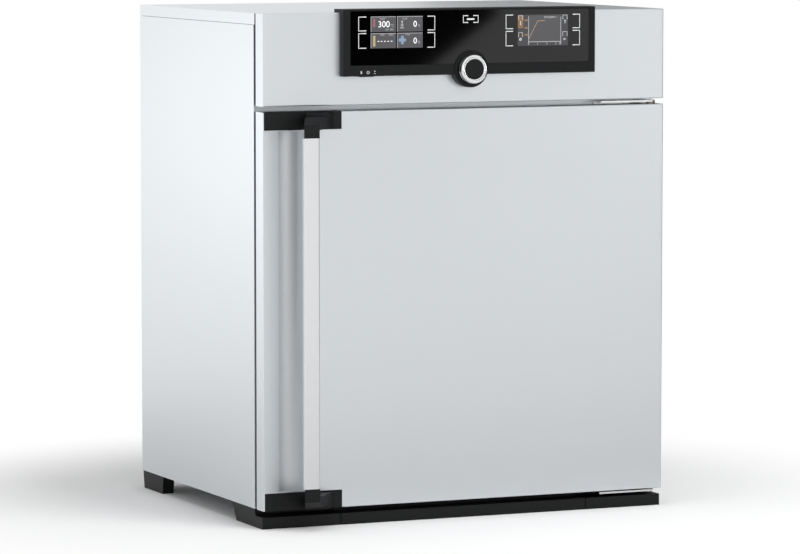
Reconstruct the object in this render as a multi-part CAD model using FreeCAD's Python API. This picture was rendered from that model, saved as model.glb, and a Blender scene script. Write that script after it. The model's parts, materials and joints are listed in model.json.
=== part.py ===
import FreeCAD, Part
import math
import os

# Hot air sterilizer, in millimetres. X runs across the width from its middle, Z up from the floor.
# While it is modelled, Y runs from the door's front face to the rear. The finished solids are then
# moved so that Y is zero in the middle of the whole depth, from handle bar to exhaust pipe.

V = FreeCAD.Vector
AXIS_X = V(1, 0, 0)
AXIS_Y = V(0, 1, 0)
AXIS_Z = V(0, 0, 1)

# Casing
WIDTH = 745.0
HEIGHT = 864.0
DEPTH = 584.0             # door's front face to the rear panel's outer face
BODY_BOTTOM = 31.0        # underside of the steel body above the floor
SHEET = 1.2               # casing sheet
SEAM = 0.6                # gap between two neighbouring sheets
FIT = 0.3                 # gap beside a piece that is laid against another
FOLD = 15.0               # width of a folded return edge
COVER_RIM = 19.0          # height of the top cover's folded rim
COVER_OVERHANG = 4.0      # the cover reaches this far in front of the front frame

# Door
DOOR_THICKNESS = 33.0
DOOR_GAP = 9.0            # back of the door to the front frame
EDGE_RADIUS = 2.0         # bent edges of door and fascia
FIELD_HEIGHT = 7.0        # raised field on the back of the door
FIELD_INSET = 14.0        # raised field inside the chamber's mouth

# Finger recess behind the handle bar, measured from the door's left edge
RECESS_START_DEPTH = 0.6
RECESS_FLAT = 28.0        # nearly flat part at the left
RECESS_FLAT_DEPTH = 1.8   # where the flat part ends
RECESS_DEPTH = 25.0
RECESS_DEEPEST = 90.0
RECESS_END = 100.0
RECESS_SLANT = 4.0

# Lock housings at the door's left corners
HOUSING_WIDTH = 141.3
HOUSING_HEIGHT = 30.0
HOUSING_DEPTH = 28.0
HOUSING_WALL = 2.5
HOUSING_PLATE = 2.0
HOUSING_CORNER = 1.5      # rounding of the corners on its front

# Handle
KNUCKLE_FROM_LEFT = 112.5
KNUCKLE_BEHIND_FACE = 4.0
KNUCKLE_RADIUS = 14.0
PIN_RADIUS = 4.0
RUNNING_FIT = 0.05
BAR_FROM_LEFT = 50.5
BAR_WIDTH = 28.0
BAR_THICKNESS = 10.0
BAR_STANDOFF = 46.0       # door's front face to the back of the bar
BAR_END = 41.5            # from the door's top or bottom edge to the bar's end
BAR_EDGE_RADIUS = 2.5
ARM_FACE = 22.4           # height of the arm's front face
ARM_SLOPE = 11.0          # height of the sloped face beyond it
ARM_SLOPE_RUN = 16.0      # how far back the sloped face reaches
CAP_OVERLAP = 2.0         # the arm's cap behind the bar's back
ARM_ROOT = 34.0           # root's left end to the knuckle's axis
ARM_STEP = 22.0           # the arm is as high as its knuckle up to here, from the door's front face
KNUCKLE_SLOT = 3.0        # width of the upright slot in the lower knuckle
KNUCKLE_SLOT_HEIGHT = 8.0
KNUCKLE_SLOT_DEPTH = 2.0
ARM_CLEARANCE = 0.6       # arm's root in front of the door's face
TONGUE_WIDTH = 10.0
TONGUE_THICKNESS = 6.0
TONGUE_REACH = 46.0       # from the knuckle's axis
HANDLE_ANGLE = 40.0
STRIKER_GAP = 1.2
STRIKER_WIDTH = 9.0
SWEEP_GAP = 1.0           # steel edges round the turning tongues

# Door hinges
HINGE_FROM_RIGHT = 17.0
HINGE_BEHIND_FACE = 16.0
HINGE_PIN_RADIUS = 4.0
HINGE_PLATE = 3.0
HINGE_PLATE_LENGTH = 106.0
HINGE_PLATE_FRONT = 6.0   # plate's front edge in front of the pin's axis
HINGE_EYE_RADIUS = 8.0
HINGE_SCREW = 1.5         # height of a screw's head
PIN_HEAD = 0.8            # of the hinge pin, beyond the plate
HINGE_GAP = 3.2           # door's edge to the plate
HINGE_FLANGE = 32.0
HINGE_FLANGE_LENGTH = 68.0
BUSH_RADIUS = 8.0
BUSH_LENGTH = 18.0
PIN_DEPTH = 14.0          # of the hinge pin in the door

# Fascia and its brackets
FASCIA_HEIGHT = 154.5     # lower edge of the fascia to the top of the cover
FASCIA_GAP = 9.5          # door's top edge to the fascia
CABLE_WAY = 50.0          # opening in the front frame behind the control housing
BRACKET_WIDTH = 12.0
BRACKET_SHEET = 2.0
BRACKET_FROM_EDGE = 25.0
BRACKET_FROM_SIDE = 60.0

# Control housing
COCKPIT_WIDTH = 467.4
COCKPIT_HEIGHT = 112.2
COCKPIT_THICKNESS = 15.0  # in front of the fascia
COCKPIT_LIP = 6.0         # above the fascia's top
COCKPIT_LIP_DEPTH = 25.0  # over the fascia's top
COCKPIT_WALL = 2.5
COCKPIT_BEVEL = 1.0
GLASS_LEFT = 13.0         # housing's edge to the glass
GLASS_RIGHT = 12.6
GLASS_BOTTOM = 18.5
GLASS_TOP = 3.5
GLASS_THICKNESS = 2.8
GLASS_CORNER = 3.0
GROOVE = 0.6
BOSS_RADIUS = 31.3
BOSS_CENTRE = 9.2         # above the housing's bottom edge
BOSS_PROUD = 1.5          # in front of the glass
DISPLAY_WIDTH = 95.0
DISPLAY_HEIGHT = 53.4
DISPLAY_DEPTH = 5.0
DISPLAY_LEFT = 49.4       # housing's left edge to the left display
DISPLAY_BOTTOM = 46.5     # above the housing's bottom edge
BOARD = 1.6
BOARD_SIDE = 12.0         # housing's edge to the control board
PLUG_DEPTH = 7.0

# Knob
SHAFT_RADIUS = 3.0
RING_RADIUS = 24.5
RING_INNER_RADIUS = 16.5
RING_DEPTH = 13.3
RING_ROUNDING = 2.5
KNOB_GAP = 2.0            # boss to the ring
CAP_DOME = 1.2
CAP_SUNK = 0.8            # edge of the cap below the ring's rim
WEB_THICKNESS = 7.5       # back of the ring, on the shaft
ENCODER_SIZE = 24.0
ENCODER_DEPTH = 9.0
ENCODER_TRAVEL = 3.0      # room behind the shaft
KEY_WIDTH = 25.0
KEY_DEPTH = 7.0
KEY_FROM_LEFT = 32.5
KEY_PROUD = 1.2
KEY_FROM_FASCIA = 2.0
KEY_SHANK = 2.0           # above the housing's bottom wall

# Chamber
CHAMBER_FROM_SIDE = 92.5  # casing's side to the chamber
CHAMBER_FROM_EDGE = 94.5  # door's top or bottom edge to the chamber
CHAMBER_FROM_REAR = 140.8 # baffle's front to the casing's rear
CHAMBER_SHEET = 1.0
FAN_SPACE = 38.0
RIB_RADIUS = 9.0
RIB_COUNT = 5
RIB_FROM_ENDS = 20.0
GASKET_WIDTH = 12.0
GASKET_FROM_MOUTH = 10.0

# Heating and air
HEATER_RADIUS = 3.25
HEATER_SIDE_RUNS = 4
HEATER_FLAT_RUNS = 4
HEATER_MARGIN = 40.0
HEATER_BEND = 20.0
HEATER_SPACE = 9.0        # chamber wall to the insulation
INSULATION_BACK = 50.0
IMPELLER_RADIUS = 90.0
IMPELLER_DEPTH = 26.0
IMPELLER_GAP = 4.0        # back of the impeller to the chamber's rear wall
IMPELLER_BLADES = 20
BLADE_ANGLE = 25.0
FAN_HUB_RADIUS = 12.0
FAN_HUB_LENGTH = 14.0
SHAFT_WAY = 2.0           # round the fan shaft where it passes through the walls
FAN_SHAFT_RADIUS = 4.0
MOTOR_RADIUS = 50.0
MOTOR_LENGTH = 36.0
MOTOR_PLATE = 3.0
MOTOR_GROOVES = 4
MOTOR_GROOVE_PITCH = 6.0
LEG_RADIUS = 5.0
LEG_GAP = 6.0             # motor to the bracket's legs
PIPE_RADIUS = 25.0
PIPE_WALL = 1.5
PIPE_FROM_MIDDLE = -180.0
PIPE_BELOW_ROOF = 65.0    # chamber's roof to the pipe's axis
PIPE_STUB = 38.0          # behind the rear panel
COLLAR_RADIUS = 46.0
PIPE_WINDOW = 60.0        # square window in the rear panel, under the collar
COLLAR_THICKNESS = 2.0
FLAP_GAP = 0.4
FLAP_THICKNESS = 1.5
SPINDLE_RADIUS = 2.0
DRIVE_GAP = 3.0           # exhaust pipe to the body of the flap drive
DRIVE_WIDTH = 28.0
DRIVE_DEPTH = 26.0
DRIVE_HEIGHT = 36.0
PROBE_RADIUS = 2.0
PROBE_REACH = 48.0        # in front of the baffle
PROBE_FROM_MIDDLE = 200.0
PROBE_SPACING = 15.0
PROBE_COLLAR = 12.0
BAFFLE_GAP = 1.0
BAFFLE_HOLE = 4.5
BAFFLE_RINGS = 4
BAFFLE_RING_PITCH = 13.5
BAFFLE_SLOT = 10.0
BAFFLE_SLOT_INSET = 12.0
BAFFLE_STUD_INSET = 30.0

# Shelves
SHELF_SIDE_GAP = 2.0
SHELF_FRONT_GAP = 17.0    # front frame to the shelf
SHELF_BACK_GAP = 18.0
SHELF_ROD = 3.0
SHELF_WIRE = 1.5
SHELF_WIRES = 21

# Feet and plinth
FOOT_WIDTH = 142.0
FOOT_WALL = 4.0
FOOT_FRONT = 8.0          # behind the door's front face
FOOT_STEP = 11.5          # plinth's top below the steel body
FOOT_RAMP = 2.0           # small slope where the nose meets the body
FOOT_TOP_BACK = 147.0
FOOT_BOTTOM_BACK = 126.0
REAR_FOOT_WIDTH = 21.0
REAR_FOOT_TOP = 101.0
REAR_FOOT_BOTTOM = 91.0
REAR_FOOT_FROM_BACK = 5.0
PLINTH_GAP = 1.5
PLINTH_WALL = 4.0

# Electronics
TRAY_BELOW_DOOR_TOP = 3.0
POWER_BOARD_WIDTH = 240.0
POWER_BOARD_LENGTH = 170.0
POWER_BOARD_FROM_MIDDLE = 20.0
POWER_BOARD_FROM_REAR = 164.0
STANDOFF = 8.0
STANDOFF_RADIUS = 3.0
STANDOFF_INSET = 10.0
RELAY_WIDTH = 28.0
RELAY_DEPTH = 25.0
RELAY_HEIGHT = 22.0
RELAY_PITCH = 40.0
RELAYS = 4
TRANSFORMER_SIZE = 52.0
TRANSFORMER_HEIGHT = 42.0
HEAT_SINK_WIDTH = 90.0
HEAT_SINK_BASE = 6.0
HEAT_SINK_FIN = 28.0
HEAT_SINK_FINS = 8
PARTS_INSET = 20.0        # parts on the power board from its edges
SOCKETS_ABOVE_TRAY = 60.0
PLATE_FROM_SIDE = 122.5   # casing's side to the middle of the connection plate
PLATE_WIDTH = 146.0
PLATE_HEIGHT = 72.0
PLATE_LAP = 8.0           # of the plate on the rear panel round its window
SOCKETS_APART = 60.0
INLET_WIDTH = 31.0
INLET_DEPTH = 24.0
INLET_HEIGHT = 22.0
INLET_FLANGE_WIDTH = 50.0
INLET_FLANGE_HEIGHT = 30.0
INLET_WALL = 2.9
INLET_PIN_PITCH = 7.0
INLET_PIN_BACK = 3.0      # tip of a pin behind the plate's outer face
SOCKET_WIDTH = 16.5
SOCKET_DEPTH = 14.0
SOCKET_HEIGHT = 16.0
SOCKET_WALL = 1.8
SOCKET_PROUD = 1.5
VENT_LENGTH = 44.0
VENT_WIDTH = 4.0
VENT_PITCH = 60.0
VENT_ROW_PITCH = 16.0
VENT_ABOVE_TRAY = 45.0
VENTS_IN_ROW = 5
SCREW_RADIUS = 4.0
SCREW_HEAD = 2.2
SCREW_SLOT = 1.0
SCREW_FROM_END = 20.0
SCREW_ROWS = 5

# Places that follow from these
LEFT = -WIDTH / 2
RIGHT = WIDTH / 2
FASCIA_BOTTOM = HEIGHT - FASCIA_HEIGHT
DOOR_TOP = FASCIA_BOTTOM - FASCIA_GAP
DOOR_MIDDLE = (BODY_BOTTOM + DOOR_TOP) / 2
FRONT = DOOR_THICKNESS + DOOR_GAP
FRAME_BACK = FRONT + SHEET
INNER_WIDTH = WIDTH - 2 * SHEET
REAR_INNER = DEPTH - SHEET
PLATE_FRONT = DEPTH + SHEET
COVER_BOTTOM = HEIGHT - COVER_RIM
BASE_Z = BODY_BOTTOM + SHEET
CHAMBER_WIDTH = WIDTH - 2 * CHAMBER_FROM_SIDE
CHAMBER_HEIGHT = DOOR_TOP - BODY_BOTTOM - 2 * CHAMBER_FROM_EDGE
CHAMBER_DEPTH = DEPTH - FRAME_BACK - CHAMBER_FROM_REAR
CHAMBER_MIDDLE = DOOR_MIDDLE
CHAMBER_FLOOR = CHAMBER_MIDDLE - CHAMBER_HEIGHT / 2
CHAMBER_TOP = CHAMBER_MIDDLE + CHAMBER_HEIGHT / 2
BAFFLE_Y = FRAME_BACK + CHAMBER_DEPTH
CHAMBER_BACK = BAFFLE_Y + CHAMBER_SHEET + FAN_SPACE
CHAMBER_OUTER_BACK = CHAMBER_BACK + CHAMBER_SHEET
INSULATION_END = CHAMBER_OUTER_BACK + INSULATION_BACK
TRAY_Z = DOOR_TOP - TRAY_BELOW_DOOR_TOP
KNUCKLE_X = LEFT + KNUCKLE_FROM_LEFT
HINGE_X = RIGHT - HINGE_FROM_RIGHT
HOUSING_BOTTOM = DOOR_TOP - HOUSING_HEIGHT
PANEL_BACK = DOOR_THICKNESS - SHEET
PANEL_FRONT = PANEL_BACK - SHEET
BAR_FRONT = -(BAR_STANDOFF + BAR_THICKNESS)
BAR_TOP = DOOR_TOP - BAR_END
TONGUE_Z = HOUSING_BOTTOM + HOUSING_HEIGHT / 2
COCKPIT_LEFT = -COCKPIT_WIDTH / 2
COCKPIT_RIGHT = COCKPIT_WIDTH / 2
COCKPIT_TOP = HEIGHT + COCKPIT_LIP
COCKPIT_BOTTOM = COCKPIT_TOP - COCKPIT_HEIGHT
KNOB_Z = COCKPIT_BOTTOM + BOSS_CENTRE
BOSS_FRONT = -COCKPIT_THICKNESS - BOSS_PROUD
GLASS_BACK = GLASS_THICKNESS - COCKPIT_THICKNESS
PIPE_X = PIPE_FROM_MIDDLE
PIPE_Z = CHAMBER_TOP - PIPE_BELOW_ROOF
FLAP_Y = (INSULATION_END + REAR_INNER) / 2
RIB_PITCH = CHAMBER_HEIGHT / (RIB_COUNT + 1)
DEPTH_MIDDLE = (BAR_FRONT + DEPTH + PIPE_STUB) / 2


# Shape helpers
def box(x0, x1, y0, y1, z0, z1):
    return Part.makeBox(x1 - x0, y1 - y0, z1 - z0, V(x0, y0, z0))


def round_rod(radius, start, direction, length):
    return Part.makeCylinder(radius, length, V(*start), direction)


def joined(shapes):
    first, rest = shapes[0], shapes[1:]
    return first.fuse(rest).removeSplitter() if rest else first


def group(shapes):
    solids = [solid for shape in shapes for solid in shape.Solids]
    return Part.makeCompound(solids)


def prism(points, direction):
    return Part.Face(Part.makePolygon(points + points[:1])).extrude(direction)


def prism_z(points, z0, z1):
    return prism([V(x, y, z0) for x, y in points], V(0, 0, z1 - z0))


def prism_x(points, x0, x1):
    return prism([V(x0, y, z) for y, z in points], V(x1 - x0, 0, 0))


def edges_along(shape, axis, keep):
    found = []
    for edge in shape.Edges:
        run = edge.valueAt(edge.LastParameter) - edge.valueAt(edge.FirstParameter)
        if run.cross(axis).Length < 1e-6 * run.Length and keep(edge.CenterOfMass):
            found.append(edge)
    return found


def upside_down(shape):
    """The same piece at the door's other end."""
    return shape.mirror(V(0, 0, DOOR_MIDDLE), AXIS_Z)


def both_ends(shape):
    return [shape, upside_down(shape)]


def left_right(shape):
    return shape.mirror(V(0, 0, 0), AXIS_X)


def bent_rod(radius, points, bend):
    """A round rod along flat runs that are joined by quarter bends."""
    corners = [V(*point) for point in points]
    edges = []
    start = corners[0]
    for before, corner, after in zip(corners, corners[1:], corners[2:]):
        towards = (before - corner).normalize()
        away = (after - corner).normalize()
        arc_start = corner + towards * bend
        arc_end = corner + away * bend
        centre = corner + towards * bend + away * bend
        middle = centre + (corner - centre).normalize() * bend
        edges.append(Part.LineSegment(start, arc_start).toShape())
        edges.append(Part.Arc(arc_start, middle, arc_end).toShape())
        start = arc_end
    edges.append(Part.LineSegment(start, corners[-1]).toShape())
    direction = (corners[1] - corners[0]).normalize()
    section = Part.Wire(Part.Circle(corners[0], direction, radius).toShape())
    return Part.Wire(edges).makePipeShell([section], True, False)


# Casing
def side_panel():
    """Left panel: one sheet with its top, bottom and rear edges folded inwards."""
    z0, z1 = BODY_BOTTOM, COVER_BOTTOM - SEAM
    sheet = box(LEFT, LEFT + SHEET, FRONT, DEPTH, z0, z1)
    folds = [box(LEFT, LEFT + FOLD, FRAME_BACK, REAR_INNER, z, z + SHEET) for z in (z0, z1 - SHEET)]
    folds.append(box(LEFT, LEFT + FOLD, REAR_INNER - SHEET, REAR_INNER, BASE_Z + SHEET + FIT, z1))
    holes = [round_rod(SCREW_RADIUS / 2, (x, REAR_INNER - SHEET, z), AXIS_Y, SHEET)
             for x, z in rear_screw_places()]
    return joined([sheet] + folds).cut(holes)


def top_cover():
    y0 = FRONT - COVER_OVERHANG
    outer = box(LEFT, RIGHT, y0, DEPTH, COVER_BOTTOM, HEIGHT)
    inner = box(LEFT + SHEET, RIGHT - SHEET, y0 + SHEET, DEPTH - SHEET, COVER_BOTTOM, HEIGHT - SHEET)
    return outer.cut(inner)


def base_plate():
    x = INNER_WIDTH / 2 - FIT
    plate = box(-x, x, FRAME_BACK, REAR_INNER - SHEET - FIT, BASE_Z, BASE_Z + SHEET)
    y = FRAME_BACK + FOLD
    stiffener = box(-x, x, y, y + SHEET, BASE_Z, BASE_Z + FOLD)
    return joined([plate, stiffener])


def tongue_sweep(clearance):
    """Room that the latch tongue needs while the handle turns, at the upper lock."""
    reach = TONGUE_REACH + clearance
    half = TONGUE_WIDTH / 2 + clearance
    left = reach * math.sin(math.radians(HANDLE_ANGLE)) + half
    z = TONGUE_THICKNESS / 2 + clearance
    return box(KNUCKLE_X - left, KNUCKLE_X + half, HOUSING_WALL, KNUCKLE_BEHIND_FACE + reach,
               TONGUE_Z - z, TONGUE_Z + z)


def front_frame():
    """Steel frame round the chamber's mouth, up to the cover, with a folded edge all round."""
    x, z0, z1 = INNER_WIDTH / 2, BODY_BOTTOM + SHEET + FIT, COVER_BOTTOM - 2 * SHEET - SEAM
    block = box(-x, x, FRONT, FRONT + FOLD, z0, z1)
    hollow = box(-x + SHEET, x - SHEET, FRAME_BACK, FRONT + FOLD, z0 + 2 * SHEET, z1 - SHEET)
    mouth = box(-CHAMBER_WIDTH / 2, CHAMBER_WIDTH / 2, FRONT, FRAME_BACK, CHAMBER_FLOOR, CHAMBER_TOP)
    base = box(-x, x, FRAME_BACK, FRONT + FOLD, z0, BASE_Z + SHEET)
    slots = both_ends(tongue_sweep(SWEEP_GAP))
    cable_way = box(-CABLE_WAY, CABLE_WAY, FRONT, FRAME_BACK, COCKPIT_BOTTOM,
                    COCKPIT_BOTTOM + CABLE_WAY)
    return block.cut([hollow, mouth, base, cable_way] + slots)


def vent_places():
    first = -(VENTS_IN_ROW - 1) / 2 * VENT_PITCH
    for row in range(2):
        for column in range(VENTS_IN_ROW):
            yield first + column * VENT_PITCH, TRAY_Z + VENT_ABOVE_TRAY + row * VENT_ROW_PITCH


def rear_screw_places():
    x, z0, z1 = RIGHT - FOLD / 2, BODY_BOTTOM + SCREW_FROM_END, COVER_BOTTOM - SCREW_FROM_END
    heights = [z0 + (z1 - z0) * row / (SCREW_ROWS - 1) for row in range(SCREW_ROWS)]
    return [(side * x, z) for z in heights for side in (-1, 1)]


def plate_place():
    return RIGHT - PLATE_FROM_SIDE, TRAY_Z + SOCKETS_ABOVE_TRAY


def plate_screw_places():
    px, pz = plate_place()
    w, h = PLATE_WIDTH / 2 - PLATE_LAP / 2, PLATE_HEIGHT / 2 - PLATE_LAP / 2
    return [(px + sx * w, pz + sz * h) for sx in (-1, 1) for sz in (-1, 1)]


def inlet_place():
    px, pz = plate_place()
    return px + SOCKETS_APART / 2, pz


def socket_place():
    px, pz = plate_place()
    return px - SOCKETS_APART / 2, pz


def rear_panel():
    x, half = INNER_WIDTH / 2, PIPE_WINDOW / 2
    sheet = box(-x, x, REAR_INNER, DEPTH, BODY_BOTTOM + SHEET, COVER_BOTTOM - SEAM)
    cuts = [box(PIPE_X - half, PIPE_X + half, REAR_INNER, DEPTH, PIPE_Z - half, PIPE_Z + half)]
    cuts += [box(vx - VENT_LENGTH / 2, vx + VENT_LENGTH / 2, REAR_INNER, DEPTH, vz, vz + VENT_WIDTH)
             for vx, vz in vent_places()]
    cuts += [round_rod(SCREW_RADIUS / 2, (sx, REAR_INNER, sz), AXIS_Y, SHEET)
             for sx, sz in rear_screw_places() + plate_screw_places()]
    px, pz = plate_place()
    w, h = PLATE_WIDTH / 2 - PLATE_LAP, PLATE_HEIGHT / 2 - PLATE_LAP
    cuts.append(box(px - w, px + w, REAR_INNER, DEPTH, pz - h, pz + h))
    return sheet.cut(cuts)


def connection_plate():
    """Plate over a window of the rear panel that holds the mains inlet and the network socket."""
    px, pz = plate_place()
    w, h = PLATE_WIDTH / 2, PLATE_HEIGHT / 2
    plate = box(px - w, px + w, DEPTH, PLATE_FRONT, pz - h, pz + h)
    cuts = [round_rod(SCREW_RADIUS / 2, (sx, DEPTH, sz), AXIS_Y, SHEET) for sx, sz in plate_screw_places()]
    for (cx, cz), cw, ch in ((inlet_place(), INLET_WIDTH, INLET_HEIGHT),
                             (socket_place(), SOCKET_WIDTH, SOCKET_HEIGHT)):
        cuts.append(box(cx - cw / 2, cx + cw / 2, DEPTH, PLATE_FRONT, cz - ch / 2, cz + ch / 2))
    return plate.cut(cuts)


def rear_screws():
    screws = []
    places = [(x, z, DEPTH) for x, z in rear_screw_places()]
    places += [(x, z, PLATE_FRONT) for x, z in plate_screw_places()]
    for x, z, under_head in places:
        head = round_rod(SCREW_RADIUS, (x, under_head, z), AXIS_Y, SCREW_HEAD)
        shank = round_rod(SCREW_RADIUS / 2, (x, under_head - 4 * SHEET, z), AXIS_Y, 4 * SHEET)
        slot = box(x - SCREW_RADIUS, x + SCREW_RADIUS, under_head + SCREW_HEAD / 2, under_head + SCREW_HEAD,
                   z - SCREW_SLOT / 2, z + SCREW_SLOT / 2)
        screws.append(joined([head, shank]).cut(slot))
    return group(screws)


# Chamber
def rib_heights():
    return [CHAMBER_FLOOR + RIB_PITCH * (row + 1) for row in range(RIB_COUNT)]


def chamber():
    """Open box whose side walls have pressed ribs that carry the shelves."""
    x, t = CHAMBER_WIDTH / 2, CHAMBER_SHEET
    outer = box(-x - t, x + t, FRAME_BACK, CHAMBER_OUTER_BACK, CHAMBER_FLOOR - t, CHAMBER_TOP + t)
    inner = box(-x, x, FRAME_BACK, CHAMBER_BACK, CHAMBER_FLOOR, CHAMBER_TOP)
    y0, y1 = FRAME_BACK + RIB_FROM_ENDS, BAFFLE_Y - RIB_FROM_ENDS
    ribs, grooves = [], []
    for z in rib_heights():
        for side in (-1, 1):
            bar = round_rod(RIB_RADIUS, (side * x, y0, z), AXIS_Y, y1 - y0)
            inside = box(min(0, side * x), max(0, side * x), y0, y1, z - RIB_RADIUS, z + RIB_RADIUS)
            ribs.append(bar.common(inside))
            grooves.append(round_rod(RIB_RADIUS - t, (side * x, y0 + t, z), AXIS_Y, y1 - y0 - 2 * t))
    holes = [round_rod(FAN_SHAFT_RADIUS + SHAFT_WAY, (0, CHAMBER_BACK, CHAMBER_MIDDLE), AXIS_Y, t),
             round_rod(PIPE_RADIUS - PIPE_WALL, (PIPE_X, CHAMBER_BACK, PIPE_Z), AXIS_Y, t)]
    holes += [round_rod(PROBE_RADIUS + RUNNING_FIT, (px, CHAMBER_BACK, PIPE_Z), AXIS_Y, t)
              for px in probe_places()]
    return joined([outer.cut(inner)] + ribs).cut(grooves + holes)


def probe_places():
    return [PROBE_FROM_MIDDLE + PROBE_SPACING * number for number in range(2)]


def temperature_probes():
    y0, y1 = BAFFLE_Y - PROBE_REACH, INSULATION_END
    return group([joined([round_rod(PROBE_RADIUS, (px, y0, PIPE_Z), AXIS_Y, y1 - y0),
                          round_rod(PROBE_RADIUS * 2, (px, CHAMBER_OUTER_BACK, PIPE_Z), AXIS_Y, PROBE_COLLAR)])
                  for px in probe_places()])


def baffle_stud_places():
    x, z = CHAMBER_WIDTH / 2 - BAFFLE_STUD_INSET, CHAMBER_HEIGHT / 2 - BAFFLE_STUD_INSET
    return [(sx * x, CHAMBER_MIDDLE + sz * z) for sx in (-1, 1) for sz in (-1, 1)]


def air_baffle():
    """Perforated rear wall of the usable space: round intake field and slots along its sides."""
    x = CHAMBER_WIDTH / 2 - BAFFLE_GAP
    plate = box(-x, x, BAFFLE_Y, BAFFLE_Y + CHAMBER_SHEET, CHAMBER_FLOOR + BAFFLE_GAP,
                CHAMBER_TOP - BAFFLE_GAP)
    cuts = [round_rod(BAFFLE_HOLE, (0, BAFFLE_Y, CHAMBER_MIDDLE), AXIS_Y, CHAMBER_SHEET)]
    for ring in range(1, BAFFLE_RINGS + 1):
        for step in range(ring * 6):
            angle = 2 * math.pi * step / (ring * 6)
            radius = ring * BAFFLE_RING_PITCH
            place = (radius * math.cos(angle), BAFFLE_Y, CHAMBER_MIDDLE + radius * math.sin(angle))
            cuts.append(round_rod(BAFFLE_HOLE, place, AXIS_Y, CHAMBER_SHEET))
    slot_length = RIB_PITCH / 2
    for z in rib_heights():
        for side in (-1, 1):
            sx = side * (x - BAFFLE_SLOT_INSET)
            cuts.append(box(sx - BAFFLE_SLOT / 2, sx + BAFFLE_SLOT / 2, BAFFLE_Y,
                            BAFFLE_Y + CHAMBER_SHEET, z - slot_length / 2, z + slot_length / 2))
    cuts += [round_rod(SCREW_RADIUS / 2, (sx, BAFFLE_Y, sz), AXIS_Y, CHAMBER_SHEET)
             for sx, sz in baffle_stud_places()]
    cuts += [round_rod(PROBE_RADIUS + 1, (px, BAFFLE_Y, PIPE_Z), AXIS_Y, CHAMBER_SHEET)
             for px in probe_places()]
    return plate.cut(cuts)


def baffle_studs():
    """Spacers between baffle and rear wall, each with a round screw head in front of the baffle."""
    y0 = BAFFLE_Y + CHAMBER_SHEET
    studs = []
    for x, z in baffle_stud_places():
        spacer = round_rod(SCREW_RADIUS, (x, y0, z), AXIS_Y, CHAMBER_BACK - y0)
        shank = round_rod(SCREW_RADIUS / 2, (x, BAFFLE_Y, z), AXIS_Y, CHAMBER_SHEET)
        head = round_rod(SCREW_RADIUS, (x, BAFFLE_Y - SCREW_HEAD, z), AXIS_Y, SCREW_HEAD)
        studs.append(joined([spacer, shank, head]))
    return group(studs)


def chamber_insulation():
    x = INNER_WIDTH / 2 - 2 * SHEET
    y0, z0, z1 = FRAME_BACK + FIT, BASE_Z + SHEET + FIT, TRAY_Z - FIT
    block = box(-x, x, y0, INSULATION_END, z0, z1)
    cx, cz = CHAMBER_WIDTH / 2 + CHAMBER_SHEET + HEATER_SPACE, CHAMBER_SHEET + HEATER_SPACE
    cuts = [box(-cx, cx, y0, CHAMBER_OUTER_BACK + FIT, CHAMBER_FLOOR - cz, CHAMBER_TOP + cz)]
    cuts += [box(-x, x, y0, FRAME_BACK + FOLD + SHEET + FIT, z0, BASE_Z + FOLD + FIT)]
    cuts += both_ends(tongue_sweep(3 * SWEEP_GAP)) + both_ends(striker_block(SWEEP_GAP))
    cuts += [box(-x, x, y0, FRONT + FOLD + FIT, z0, z1).cut(
        box(-x + SHEET, x - SHEET, y0, FRONT + FOLD + FIT, z0, z1))]
    cuts += [round_rod(FAN_SHAFT_RADIUS + SHAFT_WAY, (0, y0, CHAMBER_MIDDLE), AXIS_Y, INSULATION_END),
             round_rod(PIPE_RADIUS + FIT, (PIPE_X, y0, PIPE_Z), AXIS_Y, INSULATION_END)]
    cuts += [round_rod(PROBE_RADIUS * 2 + FIT, (px, y0, PIPE_Z), AXIS_Y, INSULATION_END)
             for px in probe_places()]
    return block.cut(cuts)


def serpentine(width, runs, pitch):
    """Corner points of a flat serpentine, centred, with its runs across the width."""
    points = []
    for run in range(runs):
        height = (run - (runs - 1) / 2) * pitch
        ends = (-width / 2, width / 2) if run % 2 == 0 else (width / 2, -width / 2)
        points += [(end, height) for end in ends]
    return points


def heater_side():
    """Heating rod on the outside of the chamber's left wall, its runs between the ribs."""
    x = -CHAMBER_WIDTH / 2 - CHAMBER_SHEET - HEATER_RADIUS - FIT
    y_middle = FRAME_BACK + CHAMBER_DEPTH / 2
    flat = serpentine(CHAMBER_DEPTH - 2 * HEATER_MARGIN, HEATER_SIDE_RUNS, RIB_PITCH)
    return bent_rod(HEATER_RADIUS, [(x, y_middle + u, CHAMBER_MIDDLE + v) for u, v in flat],
                    HEATER_BEND)


def heater_flat(z):
    y_middle = FRAME_BACK + CHAMBER_DEPTH / 2
    pitch = (CHAMBER_DEPTH - 2 * HEATER_MARGIN) / (HEATER_FLAT_RUNS - 1)
    flat = serpentine(CHAMBER_WIDTH - 2 * HEATER_MARGIN, HEATER_FLAT_RUNS, pitch)
    return bent_rod(HEATER_RADIUS, [(u, y_middle + v, z) for u, v in flat], HEATER_BEND)


def heater_top():
    return heater_flat(CHAMBER_TOP + CHAMBER_SHEET + HEATER_RADIUS + FIT)


def heater_bottom():
    return heater_flat(CHAMBER_FLOOR - CHAMBER_SHEET - HEATER_RADIUS - FIT)


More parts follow.
